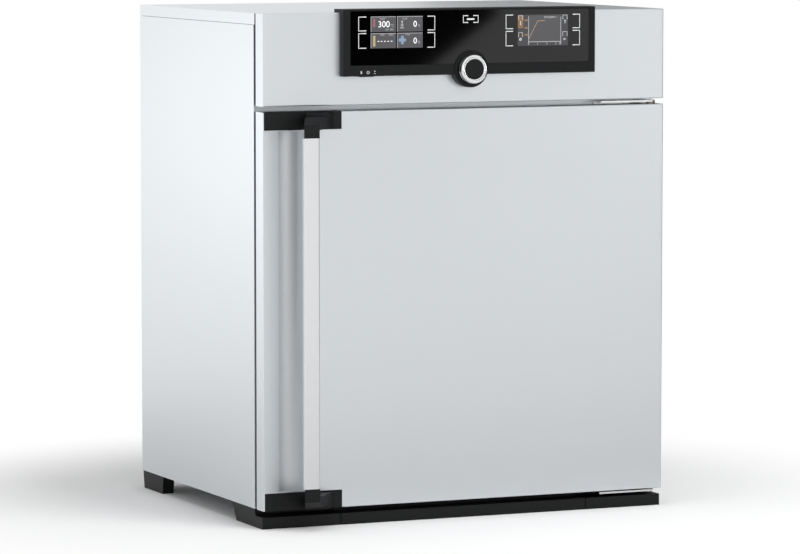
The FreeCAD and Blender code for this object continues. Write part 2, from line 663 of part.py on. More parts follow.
def door_gasket():
    """Heat-proof seal on the front frame, round the chamber's mouth."""
    x0, z0 = CHAMBER_WIDTH / 2 + GASKET_FROM_MOUTH, CHAMBER_HEIGHT / 2 + GASKET_FROM_MOUTH
    x1, z1 = x0 + GASKET_WIDTH, z0 + GASKET_WIDTH
    y0 = PANEL_BACK + FIT
    outer = box(-x1, x1, y0, FRONT, CHAMBER_MIDDLE - z1, CHAMBER_MIDDLE + z1)
    outer = outer.makeFillet(GASKET_WIDTH * 1.5, edges_along(outer, AXIS_Y, lambda place: True))
    inner = box(-x0, x0, y0, FRONT, CHAMBER_MIDDLE - z0, CHAMBER_MIDDLE + z0)
    inner = inner.makeFillet(GASKET_WIDTH * 0.5, edges_along(inner, AXIS_Y, lambda place: True))
    return outer.cut(inner)


def shelf(rib):
    """Wire shelf that rests on one pair of ribs: a bent frame rod with wires welded across it."""
    x = CHAMBER_WIDTH / 2 - SHELF_SIDE_GAP - SHELF_ROD
    y0, y1 = FRAME_BACK + SHELF_FRONT_GAP + SHELF_ROD, BAFFLE_Y - SHELF_BACK_GAP - SHELF_ROD
    beside_rib = CHAMBER_WIDTH / 2 - x
    z = rib_heights()[rib] + math.sqrt((RIB_RADIUS + SHELF_ROD + FIT) ** 2 - beside_rib ** 2)
    bars = [round_rod(SHELF_ROD, (side * x, y0, z), AXIS_Y, y1 - y0) for side in (-1, 1)]
    bars += [round_rod(SHELF_ROD, (-x, y, z), AXIS_X, 2 * x) for y in (y0, y1, (y0 + y1) / 2)]
    corners = [Part.makeSphere(SHELF_ROD, V(side * x, y, z)) for side in (-1, 1) for y in (y0, y1)]
    pitch = 2 * x / (SHELF_WIRES + 1)
    wire_z = z + SHELF_ROD + SHELF_WIRE * 0.5
    wires = [round_rod(SHELF_WIRE, (-x + pitch * (number + 1), y0 - SHELF_ROD * 0.5, wire_z), AXIS_Y,
                       y1 - y0 + SHELF_ROD) for number in range(SHELF_WIRES)]
    return joined(bars + corners + wires)


# Fan
def fan_impeller():
    y1 = CHAMBER_BACK - IMPELLER_GAP
    y0 = y1 - IMPELLER_DEPTH
    plate = round_rod(IMPELLER_RADIUS, (0, y1 - CHAMBER_SHEET, CHAMBER_MIDDLE), AXIS_Y, CHAMBER_SHEET)
    hub = round_rod(FAN_HUB_RADIUS, (0, y1 - FAN_HUB_LENGTH, CHAMBER_MIDDLE), AXIS_Y, FAN_HUB_LENGTH)
    inner, outer, half = IMPELLER_RADIUS * 0.6, IMPELLER_RADIUS * 0.98, CHAMBER_SHEET / 2
    blades = []
    for number in range(IMPELLER_BLADES):
        blade = box(inner, outer, y0, y1 - CHAMBER_SHEET, -half, half)
        blade.rotate(V(inner, 0, 0), AXIS_Y, BLADE_ANGLE)
        blade.rotate(V(0, 0, 0), AXIS_Y, 360.0 * number / IMPELLER_BLADES)
        blade.translate(V(0, 0, CHAMBER_MIDDLE))
        blades.append(blade)
    bore = round_rod(FAN_SHAFT_RADIUS, (0, y0, CHAMBER_MIDDLE), AXIS_Y, IMPELLER_DEPTH)
    return joined([plate, hub] + blades).cut(bore)


def fan_shaft():
    y0, y1 = CHAMBER_BACK - IMPELLER_GAP - FAN_HUB_LENGTH, motor_front() + MOTOR_LENGTH * 0.9
    return round_rod(FAN_SHAFT_RADIUS, (0, y0, CHAMBER_MIDDLE), AXIS_Y, y1 - y0)


def motor_front():
    return INSULATION_END + FIT + MOTOR_PLATE


def fan_motor():
    y0 = motor_front()
    can = round_rod(MOTOR_RADIUS, (0, y0, CHAMBER_MIDDLE), AXIS_Y, MOTOR_LENGTH)
    grooves = [Part.makeTorus(MOTOR_RADIUS, 1.0, V(0, y0 + MOTOR_GROOVE_PITCH * (number + 1.5),
                                                   CHAMBER_MIDDLE), AXIS_Y)
               for number in range(MOTOR_GROOVES)]
    bore = round_rod(FAN_SHAFT_RADIUS + RUNNING_FIT, (0, y0, CHAMBER_MIDDLE), AXIS_Y, MOTOR_LENGTH)
    return can.cut(grooves + [bore])


def motor_bracket():
    """Plate in front of the motor on four legs that stand on the rear panel."""
    y0, z = INSULATION_END + FIT, CHAMBER_MIDDLE
    reach = (MOTOR_RADIUS + LEG_RADIUS + LEG_GAP) / math.sqrt(2)
    half = reach + LEG_RADIUS
    plate = box(-half, half, y0, y0 + MOTOR_PLATE, z - half, z + half)
    hole = round_rod(FAN_SHAFT_RADIUS + SHAFT_WAY, (0, y0, z), AXIS_Y, MOTOR_PLATE)
    legs = [round_rod(LEG_RADIUS, (sx * reach, y0, z + sz * reach), AXIS_Y, REAR_INNER - y0)
            for sx in (-1, 1) for sz in (-1, 1)]
    return joined([plate] + legs).cut(hole)


# Exhaust
def exhaust_pipe():
    y0, y1 = CHAMBER_OUTER_BACK, DEPTH + PIPE_STUB
    pipe = round_rod(PIPE_RADIUS, (PIPE_X, y0, PIPE_Z), AXIS_Y, y1 - y0)
    collar = round_rod(COLLAR_RADIUS, (PIPE_X, DEPTH, PIPE_Z), AXIS_Y, COLLAR_THICKNESS)
    bore = round_rod(PIPE_RADIUS - PIPE_WALL, (PIPE_X, y0, PIPE_Z), AXIS_Y, y1 - y0)
    spindle_hole = round_rod(SPINDLE_RADIUS + RUNNING_FIT, (PIPE_X, FLAP_Y, PIPE_Z), AXIS_X,
                             PIPE_RADIUS + 1)
    return joined([pipe, collar]).cut([bore, spindle_hole])


def air_flap():
    radius = PIPE_RADIUS - PIPE_WALL - FLAP_GAP
    disc = round_rod(radius, (PIPE_X, FLAP_Y - FLAP_THICKNESS / 2, PIPE_Z), AXIS_Y, FLAP_THICKNESS)
    spindle = round_rod(SPINDLE_RADIUS, (PIPE_X - radius * 0.9, FLAP_Y, PIPE_Z), AXIS_X,
                        radius * 0.9 + PIPE_RADIUS + DRIVE_GAP + DRIVE_WIDTH / 2)
    return joined([disc, spindle])


def flap_drive():
    x0 = PIPE_X + PIPE_RADIUS + DRIVE_GAP
    body = box(x0, x0 + DRIVE_WIDTH, FLAP_Y - DRIVE_DEPTH / 2, FLAP_Y + DRIVE_DEPTH / 2,
               PIPE_Z - DRIVE_HEIGHT / 2, PIPE_Z + DRIVE_HEIGHT / 2)
    nose = round_rod(3 * SPINDLE_RADIUS, (PIPE_X + PIPE_RADIUS + FIT, FLAP_Y, PIPE_Z), AXIS_X, DRIVE_GAP)
    bore = round_rod(SPINDLE_RADIUS + RUNNING_FIT, (PIPE_X, FLAP_Y, PIPE_Z), AXIS_X,
                     PIPE_RADIUS + DRIVE_GAP + DRIVE_WIDTH / 2 + FIT)
    return joined([body, nose]).cut(bore)


# Door
def housing_pocket(grow):
    """Corner of the door that the upper lock housing takes."""
    left, right = LEFT + SHEET + grow, LEFT + HOUSING_WIDTH + FIT + grow
    return box(left, right, -1, HOUSING_DEPTH + grow, HOUSING_BOTTOM - FIT - grow, DOOR_TOP + 1)


def finger_recess(sheet):
    """Dished hollow behind the bar, deeper towards the right, with a steep wall at its end."""
    x_left, x_deep = LEFT - 1, LEFT + RECESS_DEEPEST
    x_end = LEFT + RECESS_END + sheet
    start, deep = RECESS_START_DEPTH + sheet, RECESS_DEPTH + sheet
    bend_x, bend_y = LEFT + RECESS_FLAT, RECESS_FLAT_DEPTH + sheet
    middle = bend_y + (deep - bend_y) * 0.32
    z0 = BODY_BOTTOM + HOUSING_HEIGHT + FIT + SHEET
    z1 = HOUSING_BOTTOM - FIT - SHEET
    corner = V(x_left, -1, z0)
    points = [V(x_left, start, z0), V(bend_x, bend_y, z0), V(x_deep, deep, z0),
              V(x_end - RECESS_SLANT, deep, z0), V(x_end, -1, z0)]
    arc = Part.Arc(points[1], V((bend_x + x_deep) / 2, middle, z0), points[2]).toShape()
    pairs = [(corner, points[0]), points[:2], points[2:4], points[3:5], (points[4], corner)]
    lines = [Part.LineSegment(a, b).toShape() for a, b in pairs]
    wire = Part.Wire(lines[:2] + [arc] + lines[2:])
    return Part.Face(wire).extrude(V(0, 0, z1 - z0))


def door_block():
    block = box(LEFT, RIGHT, 0, DOOR_THICKNESS, BODY_BOTTOM, DOOR_TOP)
    front = edges_along(block, AXIS_X, lambda place: place.y < 1)
    front += edges_along(block, AXIS_Z, lambda place: place.y < 1)
    return block.makeFillet(EDGE_RADIUS, front)


def bush_holes(clearance):
    hole = round_rod(BUSH_RADIUS + clearance, (HINGE_X, HINGE_BEHIND_FACE, DOOR_TOP - BUSH_LENGTH - FIT),
                     AXIS_Z, BUSH_LENGTH + 2 * FIT)
    return both_ends(hole)


def door_skin():
    """Folded steel shell, open at the back inside a return edge all round."""
    t = SHEET
    outer = door_block().cut(both_ends(housing_pocket(0)) + [finger_recess(0)])
    cavity = box(LEFT + t, RIGHT - t, t, PANEL_BACK, BODY_BOTTOM + t, DOOR_TOP - t)
    cavity = cavity.cut(both_ends(housing_pocket(t)) + [finger_recess(t)])
    back = box(LEFT + FOLD, RIGHT - FOLD, PANEL_BACK, DOOR_THICKNESS, BODY_BOTTOM + FOLD,
               DOOR_TOP - FOLD)
    return outer.cut([cavity, back] + both_ends(tongue_sweep(SWEEP_GAP)) + bush_holes(RUNNING_FIT))


def door_inner_panel():
    """Inner door wall, laid behind the return edge, with a raised field towards the chamber."""
    margin = SHEET + SEAM
    flat = box(LEFT + margin, RIGHT - margin, PANEL_FRONT, PANEL_BACK, BODY_BOTTOM + margin,
               DOOR_TOP - margin)
    x, z = CHAMBER_WIDTH / 2 - FIELD_INSET, CHAMBER_HEIGHT / 2 - FIELD_INSET
    field_back = PANEL_BACK + FIELD_HEIGHT
    z0, z1 = CHAMBER_MIDDLE - z, CHAMBER_MIDDLE + z
    field = box(-x, x, PANEL_FRONT, field_back, z0, z1)
    field = field.makeFillet(FIELD_INSET, edges_along(field, AXIS_Y, lambda place: True))
    hollow = box(-x + SHEET, x - SHEET, PANEL_FRONT - 1, field_back - SHEET, z0 + SHEET, z1 - SHEET)
    hollow = hollow.makeFillet(FIELD_INSET - SHEET, edges_along(hollow, AXIS_Y, lambda place: True))
    return joined([flat, field]).cut([hollow] + both_ends(tongue_sweep(SWEEP_GAP)))


def door_insulation():
    x0, x1 = LEFT + RECESS_END + 2 * SHEET, RIGHT - SHEET - FIT
    y1 = PANEL_FRONT - FIT
    block = box(x0, x1, SHEET + FIT, y1, BODY_BOTTOM + SHEET + FIT, DOOR_TOP - SHEET - FIT)
    room = both_ends(housing_pocket(SHEET + FIT)) + both_ends(tongue_sweep(2 * SWEEP_GAP))
    return block.cut(room + bush_holes(FIT))


def lock_housing():
    """Upper housing: a shell open at the back, with a round seat for the handle's knuckle."""
    x0, x1 = LEFT + SHEET + FIT, LEFT + HOUSING_WIDTH
    z0, z1 = HOUSING_BOTTOM, DOOR_TOP
    block = box(x0, x1, 0, HOUSING_DEPTH - FIT, z0, z1)
    block = block.makeFillet(HOUSING_CORNER, edges_along(block, AXIS_Y, lambda place: True))
    hollow = box(x0 + HOUSING_WALL, x1 - HOUSING_WALL, HOUSING_WALL, HOUSING_DEPTH,
                 z0 + HOUSING_PLATE, z1 - HOUSING_PLATE)
    place = (KNUCKLE_X, KNUCKLE_BEHIND_FACE)
    seat = round_rod(KNUCKLE_RADIUS + FIT, place + (z0 + HOUSING_PLATE,), AXIS_Z,
                     HOUSING_HEIGHT - 2 * HOUSING_PLATE)
    pin_hole = round_rod(PIN_RADIUS + RUNNING_FIT, place + (z0,), AXIS_Z, HOUSING_HEIGHT)
    bosses = [round_rod(PIN_RADIUS + HOUSING_WALL, place + (z,), AXIS_Z, HOUSING_PLATE)
              for z in (z0, z1 - HOUSING_PLATE)]
    return joined([block.cut([hollow, seat])] + bosses).cut(pin_hole)


def door_bushes():
    z0 = DOOR_TOP - BUSH_LENGTH
    place = (HINGE_X, HINGE_BEHIND_FACE)
    bush = round_rod(BUSH_RADIUS, place + (z0,), AXIS_Z, BUSH_LENGTH + HINGE_GAP - FIT)
    bore = round_rod(HINGE_PIN_RADIUS + RUNNING_FIT, place + (z0,), AXIS_Z, BUSH_LENGTH + HINGE_GAP)
    return group(both_ends(bush.cut(bore)))


def hinge_plate():
    """Upper hinge: plate with a hanging pin, and a flange screwed to the front frame."""
    x0 = HINGE_X + BUSH_RADIUS - HINGE_PLATE_LENGTH
    z0 = DOOR_TOP + HINGE_GAP
    y0 = HINGE_BEHIND_FACE - HINGE_PLATE_FRONT
    arm = box(x0, HINGE_X, y0, FRONT, z0, z0 + HINGE_PLATE)
    eye = round_rod(HINGE_EYE_RADIUS, (HINGE_X, HINGE_BEHIND_FACE, z0), AXIS_Z, HINGE_PLATE)
    flange = box(x0, x0 + HINGE_FLANGE_LENGTH, FRONT - HINGE_PLATE, FRONT, z0 - HINGE_FLANGE,
                 z0 + HINGE_PLATE)
    pin = round_rod(HINGE_PIN_RADIUS, (HINGE_X, HINGE_BEHIND_FACE, DOOR_TOP - PIN_DEPTH), AXIS_Z,
                    PIN_DEPTH + HINGE_GAP + HINGE_PLATE + PIN_HEAD)
    heads = [round_rod(SCREW_RADIUS, (x0 + HINGE_FLANGE_LENGTH * share, FRONT - HINGE_PLATE - HINGE_SCREW,
                                      z0 - HINGE_FLANGE / 2), AXIS_Y, HINGE_SCREW + HINGE_PLATE)
             for share in (0.25, 0.75)]
    return joined([arm, eye, flange, pin] + heads)


# Handle
def handle_bar():
    x0 = LEFT + BAR_FROM_LEFT
    bar = box(x0, x0 + BAR_WIDTH, BAR_FRONT, -BAR_STANDOFF, 2 * DOOR_MIDDLE - BAR_TOP, BAR_TOP)
    return bar.makeFillet(BAR_EDGE_RADIUS, edges_along(bar, AXIS_Z, lambda place: True))


def handle_arm():
    """Upper arm: cap on the bar's end, slanting web and the round knuckle in the lock housing."""
    x0, x1 = LEFT + BAR_FROM_LEFT, LEFT + BAR_FROM_LEFT + BAR_WIDTH
    z0, slope_top = BAR_TOP, BAR_TOP + ARM_FACE + ARM_SLOPE
    low, high = HOUSING_BOTTOM + HOUSING_PLATE + FIT, DOOR_TOP - HOUSING_PLATE - FIT
    root, cap_back = -ARM_CLEARANCE, -BAR_STANDOFF + CAP_OVERLAP
    root_left = KNUCKLE_X - ARM_ROOT
    outline = [(x0, BAR_FRONT), (x1, BAR_FRONT),
               (KNUCKLE_X + KNUCKLE_RADIUS * 0.55, KNUCKLE_BEHIND_FACE - KNUCKLE_RADIUS * 0.7),
               (KNUCKLE_X + KNUCKLE_RADIUS * 0.3, root), (root_left, root)]
    body = prism_z(outline, z0, high)
    top_cut = prism_x([(BAR_FRONT - 1, z0 + ARM_FACE), (BAR_FRONT, z0 + ARM_FACE),
                       (BAR_FRONT + ARM_SLOPE_RUN, slope_top), (-ARM_STEP, slope_top), (-ARM_STEP, high + 1),
                       (BAR_FRONT - 1, high + 1)], x0 - 1, KNUCKLE_X + KNUCKLE_RADIUS)
    under_cut = box(x0 - 1, RIGHT, cap_back, 1, z0 - 1, low)
    right_cut = prism_z([(x1, BAR_FRONT - 1), (RIGHT, BAR_FRONT - 1), (RIGHT, cap_back), (x1, cap_back)],
                        z0 - 1, low)
    knuckle = round_rod(KNUCKLE_RADIUS, (KNUCKLE_X, KNUCKLE_BEHIND_FACE, low), AXIS_Z, high - low)
    pin = round_rod(PIN_RADIUS, (KNUCKLE_X, KNUCKLE_BEHIND_FACE, low), AXIS_Z, HOUSING_HEIGHT)
    slot = tongue_blank(RUNNING_FIT)
    return joined([body.cut([top_cut, under_cut, right_cut]), knuckle]).cut([pin, slot])


def knuckle_slot():
    """Upright slot in the front of the lower knuckle."""
    half = KNUCKLE_SLOT / 2
    y0 = KNUCKLE_BEHIND_FACE - KNUCKLE_RADIUS
    z = 2 * DOOR_MIDDLE - TONGUE_Z
    return box(KNUCKLE_X - half, KNUCKLE_X + half, y0 - 1, y0 + KNUCKLE_SLOT_DEPTH,
               z - KNUCKLE_SLOT_HEIGHT / 2, z + KNUCKLE_SLOT_HEIGHT / 2)


def tongue_blank(clearance):
    half, z = TONGUE_WIDTH / 2 + clearance, TONGUE_THICKNESS / 2 + clearance
    y0 = KNUCKLE_BEHIND_FACE + PIN_RADIUS + 1.0
    return box(KNUCKLE_X - half, KNUCKLE_X + half, y0 - clearance, KNUCKLE_BEHIND_FACE + TONGUE_REACH,
               TONGUE_Z - z, TONGUE_Z + z)


def latch_tongues():
    blank = tongue_blank(0)
    tip = edges_along(blank, AXIS_Z, lambda place: place.y > KNUCKLE_BEHIND_FACE + TONGUE_REACH - 1)
    return group(both_ends(blank.makeFillet(TONGUE_WIDTH * 0.3, tip)))


def handle_pins():
    z0 = HOUSING_BOTTOM + FIT
    pin = round_rod(PIN_RADIUS, (KNUCKLE_X, KNUCKLE_BEHIND_FACE, z0), AXIS_Z, HOUSING_HEIGHT - 2 * FIT)
    return group(both_ends(pin))


def striker_block(grow):
    x0, z = KNUCKLE_X + TONGUE_WIDTH / 2 + STRIKER_GAP, TONGUE_THICKNESS + grow
    return box(x0 - grow, x0 + STRIKER_WIDTH + grow, FRAME_BACK,
               KNUCKLE_BEHIND_FACE + TONGUE_REACH + STRIKER_GAP + grow, TONGUE_Z - z, TONGUE_Z + z)


def latch_strikers():
    return group(both_ends(striker_block(0)))


# Fascia and control housing
def glass_edges():
    return (COCKPIT_LEFT + GLASS_LEFT, COCKPIT_RIGHT - GLASS_RIGHT,
            COCKPIT_BOTTOM + GLASS_BOTTOM, COCKPIT_TOP - GLASS_TOP)


def display_corners(side):
    """Left display for side -1, right display for side 1."""
    x0 = COCKPIT_LEFT + DISPLAY_LEFT
    if side > 0:
        x0 = -x0 - DISPLAY_WIDTH
    z0 = COCKPIT_BOTTOM + DISPLAY_BOTTOM
    return x0, x0 + DISPLAY_WIDTH, z0, z0 + DISPLAY_HEIGHT


def fascia_panel():
    t = SHEET
    block = box(LEFT, RIGHT, 0, DOOR_THICKNESS, FASCIA_BOTTOM, HEIGHT)
    front = edges_along(block, AXIS_X, lambda place: place.y < 1)
    front += edges_along(block, AXIS_Z, lambda place: place.y < 1)
    block = block.makeFillet(EDGE_RADIUS, front)
    hollow = box(LEFT + t, RIGHT - t, t, DOOR_THICKNESS, FASCIA_BOTTOM + t, HEIGHT - t)
    window = box(COCKPIT_LEFT + BOARD_SIDE, COCKPIT_RIGHT - BOARD_SIDE, 0, t,
                 COCKPIT_BOTTOM + BOARD_SIDE / 2, HEIGHT - BOARD_SIDE)
    half = ENCODER_SIZE / 2 + COCKPIT_WALL
    encoder_way = box(-half, half, 0, t, KNOB_Z - half, KNOB_Z + half)
    return block.cut([hollow, window, encoder_way])


def fascia_brackets():
    x, wall = RIGHT - BRACKET_FROM_SIDE, BRACKET_SHEET
    z0, z1 = FASCIA_BOTTOM + BRACKET_FROM_EDGE, HEIGHT - BRACKET_FROM_EDGE
    brackets = []
    for side in (-1, 1):
        block = box(side * x - BRACKET_WIDTH / 2, side * x + BRACKET_WIDTH / 2, SHEET, FRONT, z0, z1)
        hollow = box(side * x - BRACKET_WIDTH / 2 + wall, side * x + BRACKET_WIDTH / 2 - wall,
                     SHEET + wall, FRONT - wall, z0, z1)
        brackets.append(block.cut(hollow))
    return group(brackets)


def key_corners():
    x0 = COCKPIT_LEFT + KEY_FROM_LEFT
    return x0, x0 + KEY_WIDTH, -KEY_DEPTH - KEY_FROM_FASCIA, -KEY_FROM_FASCIA


def cockpit_housing():
    """Black control housing: frame round the glass, round knob boss, lip over the fascia."""
    x0, x1, wall = COCKPIT_LEFT, COCKPIT_RIGHT, COCKPIT_WALL
    front = -COCKPIT_THICKNESS
    body = box(x0, x1, front, 0, COCKPIT_BOTTOM, COCKPIT_TOP)
    edges = edges_along(body, AXIS_X, lambda place: place.y < front + 1)
    edges += edges_along(body, AXIS_Z, lambda place: place.y < front + 1)
    body = body.makeChamfer(COCKPIT_BEVEL, edges)
    lip = box(x0, x1, 0, COCKPIT_LIP_DEPTH, HEIGHT, COCKPIT_TOP)
    boss = round_rod(BOSS_RADIUS, (0, BOSS_FRONT, KNOB_Z), AXIS_Y, -BOSS_FRONT)
    rim = [edge for edge in boss.Edges if len(edge.Vertexes) == 1
           and edge.CenterOfMass.y < BOSS_FRONT + COCKPIT_BEVEL]
    boss = boss.makeFillet(COCKPIT_BEVEL, rim)
    gx0, gx1, gz0, gz1 = glass_edges()
    recess = box(gx0 - GROOVE, gx1 + GROOVE, front, GLASS_BACK, gz0 - GROOVE, gz1 + GROOVE)
    recess = recess.cut(round_rod(BOSS_RADIUS, (0, front, KNOB_Z), AXIS_Y, COCKPIT_THICKNESS))
    hollow = box(x0 + wall, x1 - wall, GLASS_BACK + wall, 0, COCKPIT_BOTTOM + wall, HEIGHT - wall)
    windows = [box(a, b, GLASS_BACK - 1, 0, c, d) for a, b, c, d in map(display_corners, (-1, 1))]
    shaft_hole = round_rod(SHAFT_RADIUS + FIT, (0, BOSS_FRONT, KNOB_Z), AXIS_Y, -BOSS_FRONT)
    kx0, kx1, ky0, ky1 = key_corners()
    key_hole = box(kx0 - FIT, kx1 + FIT, ky0 - FIT, ky1 + FIT, COCKPIT_BOTTOM - 1, COCKPIT_BOTTOM + wall)
    shell = joined([body, lip]).cut([recess, hollow])
    return joined([shell, boss]).cut(windows + [shaft_hole, key_hole])


def cockpit_glass():
    gx0, gx1, gz0, gz1 = glass_edges()
    glass = box(gx0, gx1, -COCKPIT_THICKNESS, GLASS_BACK, gz0, gz1)
    glass = glass.makeFillet(GLASS_CORNER, edges_along(glass, AXIS_Y, lambda place: True))
    return glass.cut(round_rod(BOSS_RADIUS + GROOVE, (0, -COCKPIT_THICKNESS, KNOB_Z), AXIS_Y,
                               GLASS_THICKNESS))


def display(side):
    x0, x1, z0, z1 = display_corners(side)
    return box(x0 + FIT, x1 - FIT, GLASS_BACK, GLASS_BACK + DISPLAY_DEPTH, z0 + FIT, z1 - FIT)


def board_front():
    return GLASS_BACK + DISPLAY_DEPTH


def control_board():
    """Circuit board behind the displays, with its connectors."""
    y0, wall = board_front(), COCKPIT_WALL + FIT
    x0, x1 = COCKPIT_LEFT + BOARD_SIDE + FIT, COCKPIT_RIGHT - BOARD_SIDE - FIT
    board = box(x0, x1, y0, y0 + BOARD, COCKPIT_BOTTOM + BOARD_SIDE / 2 + FIT, HEIGHT - BOARD_SIDE - FIT)
    plug_z = HEIGHT - 3 * BOARD_SIDE
    plugs = [box(px - BOARD_SIDE, px + BOARD_SIDE, y0 + BOARD, y0 + BOARD + PLUG_DEPTH,
                 plug_z, plug_z + BOARD_SIDE) for px in (x0 / 2, 0, x1 / 2)]
    boss = round_rod(BOSS_RADIUS + wall, (0, y0, KNOB_Z), AXIS_Y, BOARD)
    return joined([board] + plugs).cut(boss)


def encoder():
    """Turn-and-push encoder in the back of the knob boss."""
    half = ENCODER_SIZE / 2
    body = box(-half, half, FIT, ENCODER_DEPTH, KNOB_Z - half, KNOB_Z + half)
    plate = box(-2 * half, 2 * half, FIT, BOARD, KNOB_Z, KNOB_Z + half)
    bore = round_rod(SHAFT_RADIUS + RUNNING_FIT, (0, 0, KNOB_Z), AXIS_Y, ENCODER_DEPTH)
    return joined([body, plate]).cut(bore)


def encoder_shaft():
    y0, y1 = knob_back() - WEB_THICKNESS, ENCODER_DEPTH - ENCODER_TRAVEL
    return round_rod(SHAFT_RADIUS, (0, y0, KNOB_Z), AXIS_Y, y1 - y0)


def knob_back():
    return BOSS_FRONT - KNOB_GAP


def knob_ring():
    """Metal ring with a web at its back that turns on the shaft."""
    y0 = knob_back() - RING_DEPTH
    ring = round_rod(RING_RADIUS, (0, y0, KNOB_Z), AXIS_Y, RING_DEPTH)
    rims = [edge for edge in ring.Edges if len(edge.Vertexes) == 1]
    ring = ring.makeFillet(RING_ROUNDING, [edge for edge in rims if edge.CenterOfMass.y < y0 + 1])
    cup = round_rod(RING_INNER_RADIUS, (0, y0, KNOB_Z), AXIS_Y, RING_DEPTH - WEB_THICKNESS)
    bore = round_rod(SHAFT_RADIUS + RUNNING_FIT, (0, y0, KNOB_Z), AXIS_Y, RING_DEPTH)
    return ring.cut([cup, bore])


def knob_cap():
    y1 = knob_back() - WEB_THICKNESS
    y0 = knob_back() - RING_DEPTH + CAP_SUNK
    disc = round_rod(RING_INNER_RADIUS - RUNNING_FIT * 2, (0, y0, KNOB_Z), AXIS_Y, y1 - y0)
    ball_radius = (RING_INNER_RADIUS ** 2 + CAP_DOME ** 2) / (2 * CAP_DOME)
    ball = Part.makeSphere(ball_radius, V(0, y0 - CAP_DOME + ball_radius, KNOB_Z))
    slab = round_rod(RING_INNER_RADIUS - RUNNING_FIT * 2, (0, y0 - 2 * CAP_DOME, KNOB_Z), AXIS_Y,
                     2 * CAP_DOME)
    return joined([disc, slab.common(ball)])


def power_key():
    x0, x1, y0, y1 = key_corners()
    key = box(x0, x1, y0, y1, COCKPIT_BOTTOM - KEY_PROUD, COCKPIT_BOTTOM + COCKPIT_WALL + KEY_SHANK)
    return key.makeFillet(FIT, edges_along(key, AXIS_Z, lambda place: True))


# Electronics
def electronics_tray():
    x = INNER_WIDTH / 2 - FIT
    tray = box(-x, x, FRAME_BACK, REAR_INNER - SHEET - FIT, TRAY_Z, TRAY_Z + SHEET)
    frame_edge = box(-x - 1, x + 1, FRAME_BACK, FRONT + FOLD + FIT, TRAY_Z, TRAY_Z + SHEET)
    inside = box(-x + SHEET, x - SHEET, FRAME_BACK, FRONT + FOLD + FIT, TRAY_Z, TRAY_Z + SHEET)
    return tray.cut(frame_edge.cut(inside))


def power_board():
    """Board on four standoffs with relays, a transformer and a finned heat sink."""
    x0, y1, z0 = POWER_BOARD_FROM_MIDDLE, REAR_INNER - POWER_BOARD_FROM_REAR, TRAY_Z + SHEET
    x1, y0 = x0 + POWER_BOARD_WIDTH, y1 - POWER_BOARD_LENGTH
    top = z0 + STANDOFF + BOARD
    board = box(x0, x1, y0, y1, z0 + STANDOFF, top)
    legs = [round_rod(STANDOFF_RADIUS, (x, y, z0), AXIS_Z, STANDOFF)
            for x in (x0 + STANDOFF_INSET, x1 - STANDOFF_INSET)
            for y in (y0 + STANDOFF_INSET, y1 - STANDOFF_INSET)]
    first = x0 + PARTS_INSET
    relays = [box(first + RELAY_PITCH * n, first + RELAY_PITCH * n + RELAY_WIDTH, y0 + PARTS_INSET,
                  y0 + PARTS_INSET + RELAY_DEPTH, top, top + RELAY_HEIGHT) for n in range(RELAYS)]
    transformer = box(first, first + TRANSFORMER_SIZE, y1 - PARTS_INSET - TRANSFORMER_SIZE,
                      y1 - PARTS_INSET, top, top + TRANSFORMER_HEIGHT)
    sink_x, sink_y = x1 - PARTS_INSET - HEAT_SINK_WIDTH, y1 - PARTS_INSET - HEAT_SINK_WIDTH
    sink = box(sink_x, x1 - PARTS_INSET, sink_y, y1 - PARTS_INSET, top, top + HEAT_SINK_BASE)
    pitch = HEAT_SINK_WIDTH / HEAT_SINK_FINS
    fins = [box(sink_x + pitch * n, sink_x + pitch * (n + 0.25), sink_y, y1 - PARTS_INSET,
                top + HEAT_SINK_BASE, top + HEAT_SINK_BASE + HEAT_SINK_FIN)
            for n in range(HEAT_SINK_FINS)]
    return joined([board, sink, transformer] + legs + relays + fins)


def mains_inlet():
    """Three-pin appliance inlet, sunk in the connection plate."""
    px, pz = inlet_place()
    w, h, wall = INLET_WIDTH / 2 - FIT, INLET_HEIGHT / 2 - FIT, INLET_WALL
    back, front = PLATE_FRONT - INLET_DEPTH, PLATE_FRONT + wall
    body = box(px - w, px + w, back, PLATE_FRONT, pz - h, pz + h)
    flange = box(px - INLET_FLANGE_WIDTH / 2, px + INLET_FLANGE_WIDTH / 2, PLATE_FRONT, front,
                 pz - INLET_FLANGE_HEIGHT / 2, pz + INLET_FLANGE_HEIGHT / 2)
    flange = flange.makeFillet(wall, edges_along(flange, AXIS_Y, lambda place: True))
    cavity = box(px - w + wall, px + w - wall, back + wall, front, pz - h + wall, pz + h - wall)
    pins = [box(px + n * INLET_PIN_PITCH - 1, px + n * INLET_PIN_PITCH + 1, back + wall,
                PLATE_FRONT - INLET_PIN_BACK, pz - 2, pz + 2) for n in (-1, 0, 1)]
    return joined([joined([body, flange]).cut(cavity)] + pins)


def network_socket():
    px, pz = socket_place()
    w, h, wall = SOCKET_WIDTH / 2 - FIT, SOCKET_HEIGHT / 2 - FIT, SOCKET_WALL
    back, front = PLATE_FRONT - SOCKET_DEPTH, PLATE_FRONT + SOCKET_PROUD
    body = box(px - w, px + w, back, front, pz - h, pz + h)
    cavity = box(px - w + wall, px + w - wall, back + wall, front, pz - h + wall, pz + h - wall)
    return body.cut(cavity)


